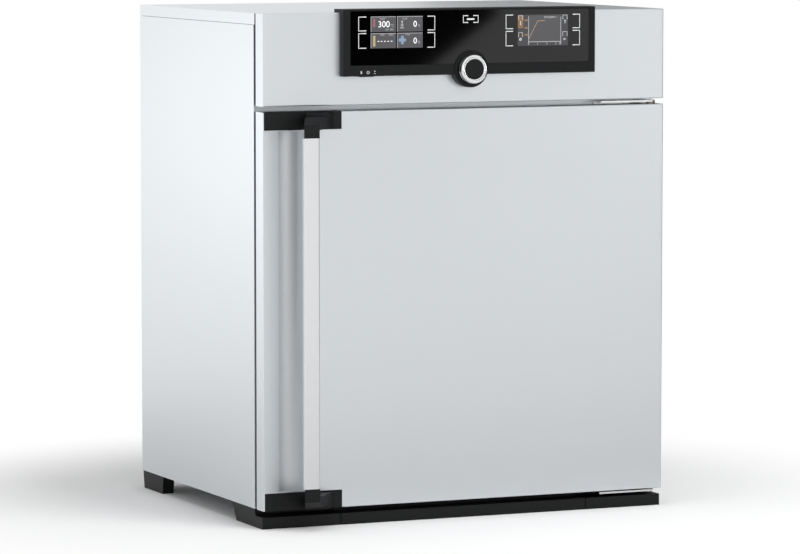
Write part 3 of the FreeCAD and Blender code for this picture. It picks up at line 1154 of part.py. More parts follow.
# Feet and plinth
def front_foot():
    """Left front foot: hollow moulding whose nose is lower than the steel body."""
    x0, x1 = LEFT, LEFT + FOOT_WIDTH
    nose_top = BODY_BOTTOM - FOOT_STEP
    outline = [(FOOT_FRONT, 0), (FOOT_BOTTOM_BACK, 0), (FOOT_TOP_BACK, BODY_BOTTOM), (FRONT, BODY_BOTTOM),
               (FRONT, nose_top + FOOT_RAMP), (FRONT - 3 * FOOT_RAMP, nose_top), (FOOT_FRONT, nose_top)]
    block = prism_x(outline, x0, x1)
    wall = FOOT_WALL
    hollow = prism_x([(FRONT + wall, wall), (FOOT_BOTTOM_BACK - wall, wall),
                      (FOOT_TOP_BACK - 2 * wall, BODY_BOTTOM), (FRONT + wall, BODY_BOTTOM)],
                     x0 + wall, x1 - wall)
    return block.cut(hollow)


def rear_foot():
    y1 = DEPTH - REAR_FOOT_FROM_BACK
    y0 = y1 - REAR_FOOT_TOP
    shrink = (REAR_FOOT_TOP - REAR_FOOT_BOTTOM) / 2
    outline = [(y0 + shrink, 0), (y1 - shrink, 0), (y1, BODY_BOTTOM), (y0, BODY_BOTTOM)]
    return prism_x(outline, LEFT, LEFT + REAR_FOOT_WIDTH)


def plinth():
    """Bar between the front feet, with a flange that stands up to the front frame."""
    x = WIDTH / 2 - FOOT_WIDTH - PLINTH_GAP
    top, wall = BODY_BOTTOM - FOOT_STEP, PLINTH_WALL
    outline = [(FOOT_FRONT, 0), (FOOT_FRONT + wall, 0), (FOOT_FRONT + wall, top - wall),
               (FRONT + wall, top - wall), (FRONT + wall, BASE_Z), (FRONT + SHEET, BASE_Z),
               (FRONT + SHEET, top), (FOOT_FRONT, top)]
    return prism_x(outline, -x, x)


def nodes():
    left_panel = side_panel()
    foot, back_foot = front_foot(), rear_foot()
    side_heater = heater_side()
    housing, arm, hinge = lock_housing(), handle_arm(), hinge_plate()
    return {
        "left_side_panel": left_panel,
        "right_side_panel": left_right(left_panel),
        "rear_panel": rear_panel(),
        "rear_screws": rear_screws(),
        "connection_plate": connection_plate(),
        "top_cover": top_cover(),
        "base_plate": base_plate(),
        "front_frame": front_frame(),
        "chamber": chamber(),
        "chamber_insulation": chamber_insulation(),
        "heater_left": side_heater,
        "heater_right": left_right(side_heater),
        "heater_top": heater_top(),
        "heater_bottom": heater_bottom(),
        "air_baffle": air_baffle(),
        "baffle_studs": baffle_studs(),
        "temperature_probes": temperature_probes(),
        "door_gasket": door_gasket(),
        "shelf_upper": shelf(3),
        "shelf_lower": shelf(1),
        "fan_impeller": fan_impeller(),
        "fan_shaft": fan_shaft(),
        "fan_motor": fan_motor(),
        "motor_bracket": motor_bracket(),
        "exhaust_pipe": exhaust_pipe(),
        "air_flap": air_flap(),
        "flap_drive": flap_drive(),
        "door_skin": door_skin(),
        "door_inner_panel": door_inner_panel(),
        "door_insulation": door_insulation(),
        "lock_housing_top": housing,
        "lock_housing_bottom": upside_down(housing),
        "door_bushes": door_bushes(),
        "hinge_plate_top": hinge,
        "hinge_plate_bottom": upside_down(hinge),
        "handle_bar": handle_bar(),
        "handle_arm_top": arm,
        "handle_arm_bottom": upside_down(arm).cut(knuckle_slot()),
        "handle_pins": handle_pins(),
        "latch_tongues": latch_tongues(),
        "latch_strikers": latch_strikers(),
        "fascia_panel": fascia_panel(),
        "fascia_brackets": fascia_brackets(),
        "cockpit_housing": cockpit_housing(),
        "cockpit_glass": cockpit_glass(),
        "display_left": display(-1),
        "display_right": display(1),
        "control_board": control_board(),
        "encoder": encoder(),
        "encoder_shaft": encoder_shaft(),
        "knob_ring": knob_ring(),
        "knob_cap": knob_cap(),
        "power_key": power_key(),
        "electronics_tray": electronics_tray(),
        "power_board": power_board(),
        "mains_inlet": mains_inlet(),
        "network_socket": network_socket(),
        "front_feet": group([foot, left_right(foot)]),
        "rear_feet": group([back_foot, left_right(back_foot)]),
        "plinth": plinth(),
    }


def main():
    os.makedirs("parts", exist_ok=True)
    for name, shape in nodes().items():
        shape.translate(V(0, -DEPTH_MIDDLE, 0))
        shape.exportStep("parts/" + name + ".step")


main()
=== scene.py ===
import json
import math

import bmesh
import bpy
from mathutils import Matrix, Vector


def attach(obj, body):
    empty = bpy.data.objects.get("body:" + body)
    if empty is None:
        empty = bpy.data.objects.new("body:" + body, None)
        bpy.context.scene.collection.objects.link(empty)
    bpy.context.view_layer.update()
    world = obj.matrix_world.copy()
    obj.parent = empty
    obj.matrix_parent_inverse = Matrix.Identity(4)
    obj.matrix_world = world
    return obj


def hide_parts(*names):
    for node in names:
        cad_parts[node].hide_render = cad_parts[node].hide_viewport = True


# Hot air sterilizer. The solids of the part are the frame. This script adds the printed marks, the
# pictures on the displays and the turned knob, gives every piece its finish, and sets the light.
# Lengths of the object are millimetres in the part's own frame: X across the width from its middle,
# Y from the door to the rear, Z up from the floor. Floor, lamps, cards and camera are in metres.

MM = 0.001

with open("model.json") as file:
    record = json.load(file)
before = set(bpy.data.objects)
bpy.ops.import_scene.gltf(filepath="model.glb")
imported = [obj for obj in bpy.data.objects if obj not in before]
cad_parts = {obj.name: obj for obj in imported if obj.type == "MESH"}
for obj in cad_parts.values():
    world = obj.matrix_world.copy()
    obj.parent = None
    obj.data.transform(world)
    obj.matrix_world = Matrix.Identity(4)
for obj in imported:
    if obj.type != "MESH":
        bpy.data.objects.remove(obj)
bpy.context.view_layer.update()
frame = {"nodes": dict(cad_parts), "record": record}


# Colours and shader helpers
def linear(code):
    """Linear RGBA of a colour that is written as the hex digits of its sRGB values."""
    channels = [int(code[i:i + 2], 16) / 255 for i in (0, 2, 4)]
    return tuple(c / 12.92 if c <= 0.04045 else ((c + 0.055) / 1.055) ** 2.4 for c in channels) + (1.0,)


def add_node(tree, kind, inputs=None, **settings):
    """One shader node with its settings and its inputs, which are values or another node's output."""
    node = tree.nodes.new(kind)
    for name, value in settings.items():
        setattr(node, name, value)
    for name, value in (inputs or {}).items():
        if isinstance(value, bpy.types.NodeSocket):
            tree.links.new(value, node.inputs[name])
        else:
            node.inputs[name].default_value = value
    return node


def finish(name, colour, roughness, metallic=0.0, **more):
    """A plain finish on a principled shader. Returns the material, its tree and the shader."""
    material = bpy.data.materials.new(name)
    material.use_nodes = True
    tree = material.node_tree
    shader = tree.nodes["Principled BSDF"]
    values = {"Base Color": linear(colour), "Roughness": roughness, "Metallic": metallic}
    values.update(more)
    for socket, value in values.items():
        shader.inputs[socket].default_value = value
    return material, tree, shader


def grain(tree, shader, pitch_mm, depth_mm, strength, stretch=(1.0, 1.0, 1.0)):
    """Fine relief whose grains are about pitch_mm apart, longer along an axis where stretch is small."""
    place = add_node(tree, "ShaderNodeTexCoord")
    mapping = add_node(tree, "ShaderNodeMapping", {"Vector": place.outputs["Object"], "Scale": stretch})
    noise = add_node(tree, "ShaderNodeTexNoise", {
        "Vector": mapping.outputs["Vector"], "Scale": 1 / (pitch_mm * MM), "Detail": 2.0})
    bump = add_node(tree, "ShaderNodeBump", {
        "Height": noise.outputs["Fac"], "Strength": strength, "Distance": depth_mm * MM})
    tree.links.new(bump.outputs["Normal"], shader.inputs["Normal"])


# Finishes
def casing_steel():
    """Stainless sheet with a fine rolled texture. Its grain of about 1 mm is drawn a little coarser."""
    material, tree, shader = finish("casing_steel", "D4D8DB", 0.38, metallic=1.0)
    grain(tree, shader, 1.3, 0.05, 0.35)
    return material


def rear_steel():
    """Galvanised sheet in a dull zinc grey. Its spangles, 85 to the metre, differ in gloss."""
    spangle_mm = 1000 / 85
    bright, dull = 0.42, 0.58
    material, tree, shader = finish("rear_steel", "B9BCBE", (bright + dull) / 2, metallic=1.0)
    place = add_node(tree, "ShaderNodeTexCoord")
    cells = add_node(tree, "ShaderNodeTexVoronoi", {
        "Vector": place.outputs["Object"], "Scale": 1 / (spangle_mm * MM)})
    gloss = add_node(tree, "ShaderNodeMapRange", {
        "Value": cells.outputs["Distance"], "To Min": bright, "To Max": dull})
    tree.links.new(gloss.outputs["Result"], shader.inputs["Roughness"])
    return material


def chamber_steel():
    """Smooth stainless sheet of the chamber, with faint lines of its rolling along the depth."""
    material, tree, shader = finish("chamber_steel", "C6C8C9", 0.32, metallic=1.0)
    grain(tree, shader, 2.0, 0.02, 0.25, stretch=(1.0, 0.08, 1.0))
    return material


def fastener_steel():
    """Zinc-plated steel of screws, pins and hinge plates, pale and fairly bright."""
    return finish("fastener_steel", "D2D3D2", 0.28, metallic=1.0)[0]


def motor_paint():
    """Dark grey stove enamel with a slight orange peel."""
    material, tree, shader = finish("motor_paint", "4A4D50", 0.45)
    grain(tree, shader, 1.5, 0.03, 0.3)
    return material


def bar_aluminium():
    """Anodised aluminium bar, satin, drawn along its length."""
    material, tree, shader = finish("bar_aluminium", "DDDEE0", 0.42, metallic=1.0)
    grain(tree, shader, 0.8, 0.01, 0.2, stretch=(1.0, 1.0, 0.02))
    return material


def knob_chrome():
    """Bright chrome on the turned knob ring."""
    return finish("knob_chrome", "E6E7E8", 0.14, metallic=1.0)[0]


def bearing_brass():
    """Oiled sintered bearing metal of the door's bushes, dull and brownish grey."""
    return finish("bearing_brass", "857B6E", 0.45, metallic=1.0)[0]


def black_plastic():
    """Moulded black plastic with a fine eroded surface, about 0.9 mm between its grains."""
    material, tree, shader = finish("black_plastic", "111213", 0.5, **{"Specular IOR Level": 0.2})
    grain(tree, shader, 0.9, 0.02, 0.25)
    return material


def black_glass():
    """Clear glass with black print behind it, so it is a black mirror from the front."""
    return finish("black_glass", "020202", 0.05)[0]


def display_glass():
    """Dark face of a display behind the glass."""
    return finish("display_glass", "0C0D10", 0.2)[0]


def circuit_board():
    """Green solder resist, smooth and a little shiny."""
    return finish("circuit_board", "1F5A3C", 0.35)[0]


def gasket_fibre():
    """Woven glass-fibre seal, off-white, with a braid of about 2 mm."""
    material, tree, shader = finish("gasket_fibre", "CFCABD", 0.85)
    grain(tree, shader, 2.0, 0.3, 0.6)
    return material


def mineral_wool():
    """Yellow-brown mineral wool with lumps of about 6 mm."""
    material, tree, shader = finish("mineral_wool", "B7A06A", 0.95)
    grain(tree, shader, 6.0, 1.0, 0.8)
    return material


def printed(name, colour, glow):
    """Flat print or a lit patch of a display. Glow is the light that it gives by itself; on print, which
    gives no light, the glow is painted glow.
    """
    return finish(name, colour, 0.6, **{"Emission Color": linear(colour), "Emission Strength": glow})[0]


SLOT_FINISH = {make.__name__: make() for make in (
    casing_steel, rear_steel, chamber_steel, fastener_steel, motor_paint, bar_aluminium, knob_chrome,
    bearing_brass, black_plastic, black_glass, display_glass, circuit_board, gasket_fibre, mineral_wool)}


def paint_frame():
    """Every solid of the part takes the finish of its slot in the record."""
    for subpart in frame["record"]["subparts"]:
        node = frame["nodes"][subpart["node"]]
        node.data.materials.clear()
        node.data.materials.append(SLOT_FINISH[subpart["material_slot"]])


# Places on the control panel: left, right, lower and upper edge, or edge and tip of a bracket
GLASS_FRONT = -298.0
PRINT_THICKNESS = 0.08
LEFT_SCREEN = (-184.3, -89.3, 804.4, 857.5)
RIGHT_SCREEN = (87.4, 181.7, 804.4, 857.2)
KEY_ROWS = ((833.8, 856.9), (804.8, 829.4))
KEY_BRACKETS = ((-206.3, -192.4), (-67.0, -80.3), (65.4, 78.6), (204.0, 190.8))
KEY_LINE = 1.7
MARK_ROW = (845.4, 856.9)
MARK_MIDDLE = -0.4
MARK_EDGE = 13.8
MARK_TIP = 4.8
MARK_DASH = (-7.6, 6.4, 849.7, 852.5)

# A font's size over the height of its figures, and the steps of a printed circle
SIZE_OVER_HEIGHT = 1.4
CIRCLE_STEPS = 20


# Shape helpers
def add_piece(name, mesh, material, body):
    """A piece of one material that rides on a body."""
    piece = bpy.data.objects.new(name, mesh)
    bpy.context.scene.collection.objects.link(piece)
    mesh.materials.clear()
    mesh.materials.append(material)
    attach(piece, body)
    return piece


def from_bmesh(name, bm, smooth):
    """The finished mesh, with its faces turned outwards."""
    bmesh.ops.recalc_face_normals(bm, faces=bm.faces)
    mesh = bpy.data.meshes.new(name)
    bm.to_mesh(mesh)
    bm.free()
    for face in mesh.polygons:
        face.use_smooth = smooth
    return mesh


def on_glass(layers):
    """Y of the front of the glass with that many layers of print on it."""
    return GLASS_FRONT - layers * PRINT_THICKNESS


def add_plate(bm, edges, front, corner):
    """A flat plate of print that faces the viewer, with rounded corners."""
    x0, x1, z0, z1 = edges
    middle = Matrix.Translation(Vector(((x0 + x1) / 2, front, (z0 + z1) / 2)) * MM)
    size = Matrix.Diagonal(Vector((x1 - x0, z1 - z0, 1.0)) * MM).to_4x4()
    made = bmesh.ops.create_grid(bm, x_segments=1, y_segments=1, size=0.5,
                                 matrix=middle @ Matrix.Rotation(math.pi / 2, 4, "X") @ size)
    faces = list({face for vert in made["verts"] for face in vert.link_faces})
    if corner:
        rounded = bmesh.ops.bevel(bm, geom=made["verts"], offset=corner * MM, segments=4, profile=0.5,
                                  affect="VERTICES", material=-1)
        faces = list({face for vert in rounded["verts"] for face in vert.link_faces})
    raised = bmesh.ops.extrude_face_region(bm, geom=faces)
    top = [part for part in raised["geom"] if isinstance(part, bmesh.types.BMVert)]
    bmesh.ops.translate(bm, vec=Vector((0, -PRINT_THICKNESS * MM, 0)), verts=top)


def plates(name, rows, layers, material, corner=0.0):
    """Printed or lit patches. Each row is (left, right, lower, upper edge)."""
    bm = bmesh.new()
    for edges in rows:
        add_plate(bm, edges, on_glass(layers), corner)
    return add_piece(name, from_bmesh(name, bm, False), material, "cabinet")


def mesh_of(curve, name):
    """The mesh of a curve or text, made before it gets its place."""
    maker = bpy.data.objects.new(name, curve)
    bpy.context.scene.collection.objects.link(maker)
    bpy.context.view_layer.update()
    mesh = bpy.data.meshes.new_from_object(maker.evaluated_get(bpy.context.evaluated_depsgraph_get()))
    bpy.data.objects.remove(maker)
    bpy.data.curves.remove(curve)
    mesh.name = name
    return mesh


def strokes(name, lines, width, layers, material, thickness=PRINT_THICKNESS):
    """Printed lines of one width. Each line is a list of (x, z) points."""
    curve = bpy.data.curves.new(name, "CURVE")
    curve.dimensions = "3D"
    curve.bevel_depth = width / 2 * MM
    curve.bevel_resolution = 2
    curve.use_fill_caps = True
    for line in lines:
        spline = curve.splines.new("POLY")
        closed = line[0] == line[-1]
        points = line[:-1] if closed else line
        spline.points.add(len(points) - 1)
        spline.use_cyclic_u = closed
        for point, (x, z) in zip(spline.points, points):
            point.co = (x * MM, 0.0, z * MM, 1.0)
    mesh = mesh_of(curve, name)
    flat = Matrix.Diagonal((1.0, thickness / width, 1.0, 1.0))
    mesh.transform(Matrix.Translation((0, on_glass(layers) * MM, 0)) @ flat)
    return add_piece(name, mesh, material, "cabinet")


def words(name, rows, layers, material):
    """Printed text, joined in one piece. Each row is (text, x of its middle, z of its middle, height)."""
    bm = bmesh.new()
    for text, x, z, height in rows:
        curve = bpy.data.curves.new(name, "FONT")
        curve.body = text
        curve.size = height * MM * SIZE_OVER_HEIGHT
        curve.extrude = PRINT_THICKNESS / 2 * MM
        curve.align_x = "CENTER"
        curve.align_y = "CENTER"
        mesh = mesh_of(curve, name)
        upright = Matrix.Rotation(math.pi / 2, 4, "X")
        mesh.transform(Matrix.Translation(Vector((x, on_glass(layers), z)) * MM) @ upright)
        bm.from_mesh(mesh)
        bpy.data.meshes.remove(mesh)
    return add_piece(name, from_bmesh(name, bm, False), material, "cabinet")


def arc(u, v, radius, start, turn, steps):
    """Points on an arc about (u, v), in degrees from the first axis."""
    angles = [math.radians(start + turn * step / steps) for step in range(steps + 1)]
    return [(u + radius * math.cos(a), v + radius * math.sin(a)) for a in angles]


def circle(x, z, radius):
    """A closed line: its last point is its first."""
    points = arc(x, z, radius, 0.0, 360.0, CIRCLE_STEPS)
    return points[:-1] + points[:1]


# Control panel
def touch_marks():
    """Brackets beside the displays that mark the touch keys, and the mark above the knob."""
    lines = []
    for z0, z1 in KEY_ROWS:
        for edge, tip in KEY_BRACKETS:
            lines.append([(tip, z0), (edge, z0), (edge, z1), (tip, z1)])
    z0, z1 = MARK_ROW
    for side in (-1, 1):
        edge = MARK_MIDDLE + side * MARK_EDGE
        tip = MARK_MIDDLE + side * MARK_TIP
        lines.append([(tip, z0), (edge, z0), (edge, z1), (tip, z1)])
    # The white print of the brackets and the dash gets a small painted glow, since the print itself gives no
    # light.
    white = printed("touch_print_painted_glow", "C9CBCC", 0.25)
    strokes("touch_marks", lines, KEY_LINE, 0, white, thickness=2 * PRINT_THICKNESS)
    plates("touch_mark_dash", [MARK_DASH], 0, white, corner=0.5)


def power_marks():
    """Three small signs above the power key: two rings, the power sign, and a ring over a dash."""
    z = 764.2
    rings, power, dash = -201.5, -189.1, -176.8
    lines = [
        arc(power, z, 2.2, 120, 300, CIRCLE_STEPS),
        [(power, z + 0.6), (power, z + 2.9)],
        circle(rings, z + 1.2, 0.9),
        circle(rings, z - 1.2, 0.9),
        [(dash - 1.4, z - 1.9), (dash + 1.4, z - 1.9)],
        circle(dash, z + 1.7, 0.6)]
    # The white print of the signs gets a small painted glow, since the print itself gives no light.
    white = printed("sign_print_painted_glow", "D6D8D8", 0.2)
    strokes("power_marks", lines, 0.7, 0, white)


def left_screen():
    """Four tiles: temperature, flap, time and fan, each with its value."""
    x0, x1, z0, z1 = LEFT_SCREEN
    xm, zm = (x0 + x1) / 2, (z0 + z1) / 2
    gap = 1.4
    right = xm + gap / 2
    columns = ((x0, xm - gap), (right, x1))
    rows = ((z0, zm - gap), (zm + gap / 2, z1))
    tiles = [(a, b, c, d) for a, b in columns for c, d in rows]
    plates("screen_left_tiles", tiles, 0, printed("tile_grey", "48484B", 0.14))

    upper_edge, left_edge = 1.2, 1.1
    edges = []
    for a, b, c, d in tiles:
        edges.append((a, b, d - upper_edge, d))
        edges.append((a, a + left_edge, c, d - upper_edge))
    plates("screen_left_edges", edges, 1, printed("tile_edge", "909092", 0.2))

    bar_left, bar_right = x0 + 4.0, x0 + 8.4
    plates("screen_left_heat_bar", [(bar_left, bar_right, zm + 9.0, z1 - 4.0)], 1,
           printed("heat_red", "84525A", 0.3), corner=0.4)
    plates("screen_left_time_bar", [(bar_left, bar_right, z0 + 3.0, zm - 5.6)], 1,
           printed("time_yellow", "A0906E", 0.3), corner=0.4)

    fan_x, fan_z = right + 9.5, (z0 + zm) / 2
    blades = [
        (fan_x - 2.4, fan_x + 2.4, fan_z - 7.2, fan_z + 7.2),
        (fan_x - 6.6, fan_x - 2.4, fan_z - 2.6, fan_z + 2.6),
        (fan_x + 2.4, fan_x + 6.6, fan_z - 2.6, fan_z + 2.6)]
    plates("screen_left_fan", blades, 1, printed("fan_blue", "74879C", 0.3), corner=0.8)

    white = printed("value_white", "DADBDC", 0.6)
    upper, lower = zm + 13.0, z0 + 12.5
    values = [
        ("300", x0 + 24.0, upper, 10.5),
        ("0", right + 33.0, upper, 10.0),
        ("0", right + 33.0, lower - 1.0, 10.0)]
    words("screen_left_values", values, 1.5, white)

    pale = printed("value_pale", "A0A1A4", 0.3)
    unit, title = 4.2, 3.0
    title_upper, title_lower = z1 - 4.4, zm - 4.6
    units = [
        ("°C", x0 + 39.0, upper - 2.0, unit),
        ("%", right + 40.0, upper - 2.4, unit),
        ("%", right + 40.0, lower - 3.4, unit),
        ("SET 300", x0 + 34.0, zm + 4.4, title),
        ("TEMP", x0 + 21.0, title_upper, title),
        ("FLAP", right + 14.0, title_upper, title),
        ("TIME", x0 + 21.0, title_lower, title),
        ("END", x0 + 37.0, title_lower, title),
        ("FAN", right + 19.0, title_lower, title)]
    words("screen_left_units", units, 1.5, pale)

    dash_z = lower - 1.0
    starts = [x0 + 12.5 + step * 6.0 for step in range(5)]
    dashes = [[(start, dash_z), (start + 3.0, dash_z)] for start in starts]
    strokes("screen_left_dashes", dashes, 1.2, 1, white)

    flap_x, flap_z = right + 9.0, upper
    flap = [
        [(flap_x - 3.6, flap_z - 6.0), (flap_x + 3.6, flap_z - 6.0)],
        [(flap_x, flap_z - 5.0), (flap_x, flap_z + 3.0)],
        [(flap_x - 2.4, flap_z - 2.2), (flap_x, flap_z + 0.6), (flap_x + 2.4, flap_z - 2.2)],
        circle(flap_x, flap_z + 4.6, 1.1)]
    strokes("screen_left_flap", flap, 1.3, 1, pale)


def right_screen():
    """Chart of the temperature over time between two columns of signs."""
    x0, x1, z0, z1 = RIGHT_SCREEN
    plates("screen_right_field", [RIGHT_SCREEN], 0, printed("chart_grey", "3E3E41", 0.12))
    plates("screen_right_chart", [(x0 + 20.6, x1 - 13.8, z0 + 7.2, z1 - 1.5)], 1,
           printed("chart_field", "4A4A4D", 0.12))
    plates("screen_right_heat_tile", [(x0 + 0.2, x0 + 10.2, z0 + 30.0, z1 - 0.6)], 1,
           printed("heat_brown", "785C42", 0.2))

    pale = printed("axis_white", "B4B5B6", 0.25)
    chart_left, chart_right, chart_base = x0 + 20.2, x1 - 13.4, z0 + 6.6
    axes = [
        [(chart_left, z0 + 1.6), (chart_left, z1 - 2.6)],
        [(chart_left, chart_base), (chart_right, chart_base)],
        [(chart_right, z0 + 1.6), (chart_right, z1 - 4.0)]]
    strokes("screen_right_axes", axes, 0.9, 1, pale)

    hood = 7.4
    hoods = (
        (x0 + 1.4, z1 - 1.6, 7.4),
        (x0 + 1.4, z1 - 30.4, 7.4),
        (x1 - 9.6, z1 - 1.4, 8.0),
        (x1 - 9.6, z1 - 29.6, 8.0))
    signs = [[(x, z - hood), (x, z), (x + width, z), (x + width, z - hood)] for x, z, width in hoods]
    strokes("screen_right_signs", signs, 1.1, 2, pale)

    small = [
        circle(x0 + 5.0, z1 - 41.6, 1.7),
        [(x0 + 5.0, z1 - 17.6), (x0 + 5.0, z1 - 10.6)],
        [(x1 - 7.0, z1 - 10.4), (x1 - 4.6, z1 - 10.4), (x1 - 6.0, z1 - 15.2)],
        [(x1 - 7.6, z1 - 40.6), (x1 - 4.2, z1 - 42.2), (x1 - 7.6, z1 - 43.8), (x1 - 7.6, z1 - 40.6)]]
    strokes("screen_right_small_signs", small, 1.3, 2, printed("sign_white", "C8C9CA", 0.3))

    orange = printed("curve_orange", "AA8866", 0.3)
    rise = [(x0 + 20.4, z0 + 11.4), (x0 + 37.3, z1 - 10.8), (x0 + 51.0, z1 - 10.4)]
    strokes("screen_right_curve", [rise], 0.9, 2, orange)

    scale_x, scale_text = x0 + 15.4, 3.2
    degrees = [
        ("300", scale_x, z1 - 9.6, scale_text),
        ("200", scale_x, z1 - 22.6, scale_text),
        ("100", scale_x, z1 - 34.2, scale_text)]
    words("screen_right_scale", degrees, 1.5, orange)

    hours_z, hours_text = z0 + 3.2, 3.4
    hours = [
        ("1", x0 + 37.0, hours_z, hours_text),
        ("2", x0 + 54.4, hours_z, hours_text),
        ("3", x0 + 71.8, hours_z, hours_text),
        ("h", x0 + 79.0, hours_z, hours_text),
        ("PROGRAM 1", x0 + 61.0, z1 - 4.8, 3.0)]
    words("screen_right_hours", hours, 2.5, pale)


# Knob
KNOB_CENTRE = (0.0, 767.0)
TURN_STEPS = 96
ROUNDING_STEPS = 6
RING_BACK = -301.5
RING_FRONT = -314.8
RING_BORE = 4.0
RING_RADIUS = 24.5
RING_CHAMFER = 0.3
GROOVE_RADIUS = 23.9
CAP_HOLE = 16.6
CAP_HOLE_DEPTH = 5.8
OUTER_ROUNDING = 3.6
INNER_ROUNDING = 2.6
CAP_FRONT = -315.1
CAP_BACK = -309.2
CAP_DOME = ((0.0, 0.0), (5.0, 0.1), (10.0, 0.4), (14.5, 0.9), (16.0, 1.4), (16.4, 2.0))


def turned(name, profile, material):
    """A turned piece of the knob. The profile is (radius, y) points, closed by the axis or by itself."""
    bm = bmesh.new()
    x, z = KNOB_CENTRE
    verts = [bm.verts.new(Vector((x + radius, y, z)) * MM) for radius, y in profile]
    edges = [bm.edges.new(pair) for pair in zip(verts, verts[1:])]
    bmesh.ops.spin(bm, geom=verts + edges, cent=Vector((x, 0, z)) * MM, axis=Vector((0, 1, 0)),
                   angle=2 * math.pi, steps=TURN_STEPS, use_merge=True)
    bmesh.ops.remove_doubles(bm, verts=bm.verts, dist=1e-6)
    return add_piece(name, from_bmesh(name, bm, True), material, "knob")


def knob():
    """Chrome ring with a flat back collar, a groove and a rounded front rim, and the domed dark cap."""
    back, front = RING_BACK, RING_FRONT
    ring = [
        (RING_BORE, back),
        (RING_RADIUS - RING_CHAMFER, back),
        (RING_RADIUS, back - RING_CHAMFER),
        (RING_RADIUS, back - 4.2),
        (GROOVE_RADIUS, back - 4.8),
        (GROOVE_RADIUS, back - 5.6),
        (RING_RADIUS, back - 6.2)]
    ring += arc(RING_RADIUS - OUTER_ROUNDING, front + OUTER_ROUNDING, OUTER_ROUNDING, 0, -90, ROUNDING_STEPS)
    ring += arc(CAP_HOLE + INNER_ROUNDING, front + INNER_ROUNDING, INNER_ROUNDING, -90, -90, ROUNDING_STEPS)
    ring += [(CAP_HOLE, front + CAP_HOLE_DEPTH), (RING_BORE, front + CAP_HOLE_DEPTH), (RING_BORE, back)]
    rim = turned("knob_rim", ring, SLOT_FINISH["knob_chrome"])
    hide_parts("knob_ring")

    cap = [(radius, CAP_FRONT + drop) for radius, drop in CAP_DOME]
    cap += [(CAP_DOME[-1][0], CAP_BACK), (0.0, CAP_BACK)]
    face = turned("knob_face", cap, SLOT_FINISH["black_plastic"])
    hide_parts("knob_cap")


# Light, floor and camera
def backdrop():
    """White background. Matt surfaces see a softer studio than shiny ones and the camera do."""
    world = bpy.data.worlds.new("studio")
    bpy.context.scene.world = world
    world.use_nodes = True
    tree = world.node_tree
    light = tree.nodes["Background"]
    path = add_node(tree, "ShaderNodeLightPath")
    seen = path.outputs["Is Camera Ray"]
    for ray in ("Is Glossy Ray", "Is Transmission Ray"):
        either = add_node(tree, "ShaderNodeMath", {0: seen, 1: path.outputs[ray]}, operation="MAXIMUM")
        seen = either.outputs[0]
    level = add_node(tree, "ShaderNodeMapRange", {"Value": seen, "To Min": 0.5, "To Max": 1.0})
    light.inputs["Color"].default_value = (1.0, 1.0, 1.0, 1.0)
    tree.links.new(level.outputs["Result"], light.inputs["Strength"])


FLOOR_HALF = 6.0
FADE_REACH = 2.0
PAPER_RADIUS = 0.56
WHITE_RADIUS = 1.06


def floor():
    """Pale paper that keeps the contact shadow within PAPER_RADIUS and is plain white from WHITE_RADIUS."""
    bm = bmesh.new()
    bmesh.ops.create_grid(bm, x_segments=1, y_segments=1, size=FLOOR_HALF)
    piece = bpy.data.objects.new("floor", from_bmesh("floor", bm, False))
    bpy.context.scene.collection.objects.link(piece)
    material, tree, shader = finish("floor_paper", "F4F4F4", 0.9)
    place = add_node(tree, "ShaderNodeTexCoord")
    mapping = add_node(tree, "ShaderNodeMapping", {
        "Vector": place.outputs["Object"], "Scale": (1 / FADE_REACH, 1 / FADE_REACH, 1 / FADE_REACH)})
    ball = add_node(tree, "ShaderNodeTexGradient", {"Vector": mapping.outputs["Vector"]},
                    gradient_type="SPHERICAL")
    fade = add_node(tree, "ShaderNodeMapRange", {
        "Value": ball.outputs["Fac"],
        "From Min": 1 - WHITE_RADIUS / FADE_REACH,
        "From Max": 1 - PAPER_RADIUS / FADE_REACH}, interpolation_type="SMOOTHSTEP")
    white = add_node(tree, "ShaderNodeEmission", {"Color": (1.0, 1.0, 1.0, 1.0), "Strength": 1.0})
    mix = add_node(tree, "ShaderNodeMixShader", {
        0: fade.outputs["Result"], 1: white.outputs[0], 2: shader.outputs[0]})
    tree.links.new(mix.outputs[0], tree.nodes["Material Output"].inputs["Surface"])
    piece.data.materials.append(material)


def lamp(name, place, aim, width, height, power, on_matt=True, on_shiny=True):
    """An area lamp in metres and watts that lights matt surfaces, is mirrored by shiny ones, or both."""
    data = bpy.data.lights.new(name, "AREA")
    data.shape = "RECTANGLE"
    data.size = width
    data.size_y = height
    data.energy = power
    piece = bpy.data.objects.new(name, data)
    bpy.context.scene.collection.objects.link(piece)
    piece.location = place
    piece.rotation_euler = (Vector(aim) - Vector(place)).to_track_quat("-Z", "Y").to_euler()
    piece.visible_diffuse = on_matt
    piece.visible_glossy = on_shiny


def lamps():
    """Two high lamps for the matt surfaces, and three that only brighten steel and stay below the cover."""
    lamp("key", (1.25, -2.95, 2.8), (0.0, -0.2, 0.4), 2.4, 2.2, 91.0, on_shiny=False)
    lamp("over", (-0.2, -0.5, 3.2), (0.0, -0.1, 0.0), 2.0, 1.6, 29.0, on_shiny=False)
    lamp("left", (-2.4, 2.2, 0.54), (-0.37, 0.0, 0.54), 1.8, 0.6, 4.3, on_matt=False)
    lamp("front_left", (0.2, -3.1, 0.74), (0.0, -0.3, 0.74), 0.8, 0.24, 2.8, on_matt=False)
    lamp("front_right", (2.1, -3.1, 0.74), (0.0, -0.3, 0.74), 0.8, 0.24, 2.1, on_matt=False)


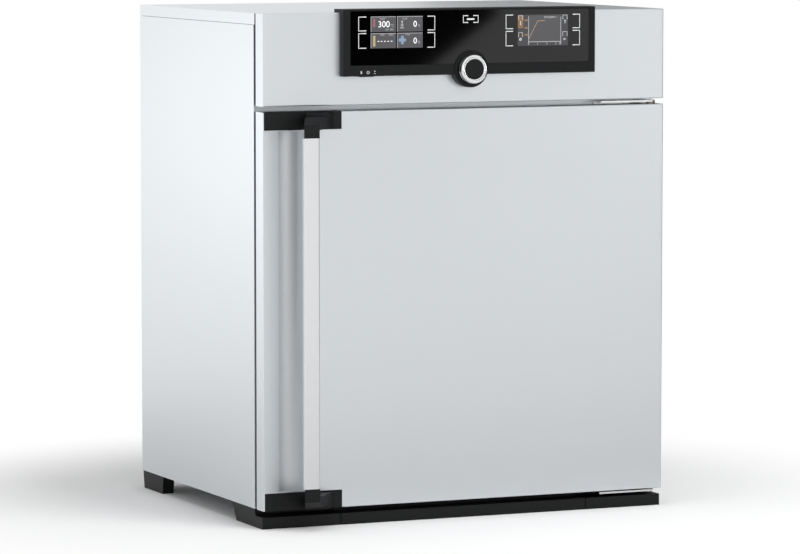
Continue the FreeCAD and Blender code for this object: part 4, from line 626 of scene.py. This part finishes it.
def card(name, shade, centre, normal, roll, width, height):
    """A dark or pale card outside the picture that only the shiny surfaces mirror."""
    bm = bmesh.new()
    bmesh.ops.create_grid(bm, x_segments=1, y_segments=1, size=0.5,
                          matrix=Matrix.Diagonal((width, height, 1.0, 1.0)))
    turn = Vector(normal).to_track_quat("Z", "Y").to_matrix().to_4x4()
    bm.transform(Matrix.Translation(centre) @ turn @ Matrix.Rotation(math.radians(roll), 4, "Z"))
    piece = bpy.data.objects.new(name, from_bmesh(name, bm, False))
    bpy.context.scene.collection.objects.link(piece)
    piece.data.materials.append(finish(name + "_felt", shade, 1.0, **{"Specular IOR Level": 0.0})[0])
    piece.visible_camera = False
    piece.visible_diffuse = False
    piece.visible_shadow = False


def cards():
    """Dark cards for the control glass, the finger recess and the cover. Pale ones lie on the floor."""
    card("card_glass", "0A0A0A", (0.8, -3.0, 0.72), (0.0, 1.0, 0.0), -34.7, 0.9, 0.5)
    card("card_right", "0A0A0A", (1.8, -0.85, 0.9), (-1.0, 0.0, 0.0), 0.0, 2.0, 2.4)
    card("card_cover", "5A5A5A", (1.9, 2.2, 1.3), (-0.4, -0.9, 0.0), 0.0, 1.6, 2.0)
    card("card_side", "F0F0F0", (-0.8, 0.35, 0.01), (0.0, 0.0, 1.0), 0.0, 0.7, 1.7)
    card("card_front", "CCCCCC", (0.3, -0.75, 0.01), (0.0, 0.0, 1.0), 0.0, 2.0, 0.7)


# Camera, fitted to edges of the object in the photograph: degrees, metres, and millimetres of lens
CAMERA_YAW = 23.691
CAMERA_TILT = 5.127
CAMERA_PLACE = (-3.1337, -7.1416, 1.0891)
LENS = 200.35
SENSOR_WIDTH = 36.0


def camera():
    """The photograph's view: from the left of the front, a little from above, with a long lens."""
    yaw = math.radians(CAMERA_YAW)
    tilt = math.radians(CAMERA_TILT)
    ahead = Vector((math.sin(yaw) * math.cos(tilt), math.cos(yaw) * math.cos(tilt), -math.sin(tilt)))
    data = bpy.data.cameras.new("camera")
    data.lens = LENS
    data.sensor_width = SENSOR_WIDTH
    data.clip_end = 100.0
    piece = bpy.data.objects.new("camera", data)
    bpy.context.scene.collection.objects.link(piece)
    piece.location = CAMERA_PLACE
    piece.rotation_euler = ahead.to_track_quat("-Z", "Y").to_euler()
    bpy.context.scene.camera = piece


def main():
    bpy.context.scene.view_settings.view_transform = "Standard"
    paint_frame()
    touch_marks()
    power_marks()
    left_screen()
    right_screen()
    knob()
    backdrop()
    floor()
    lamps()
    cards()
    camera()


main()
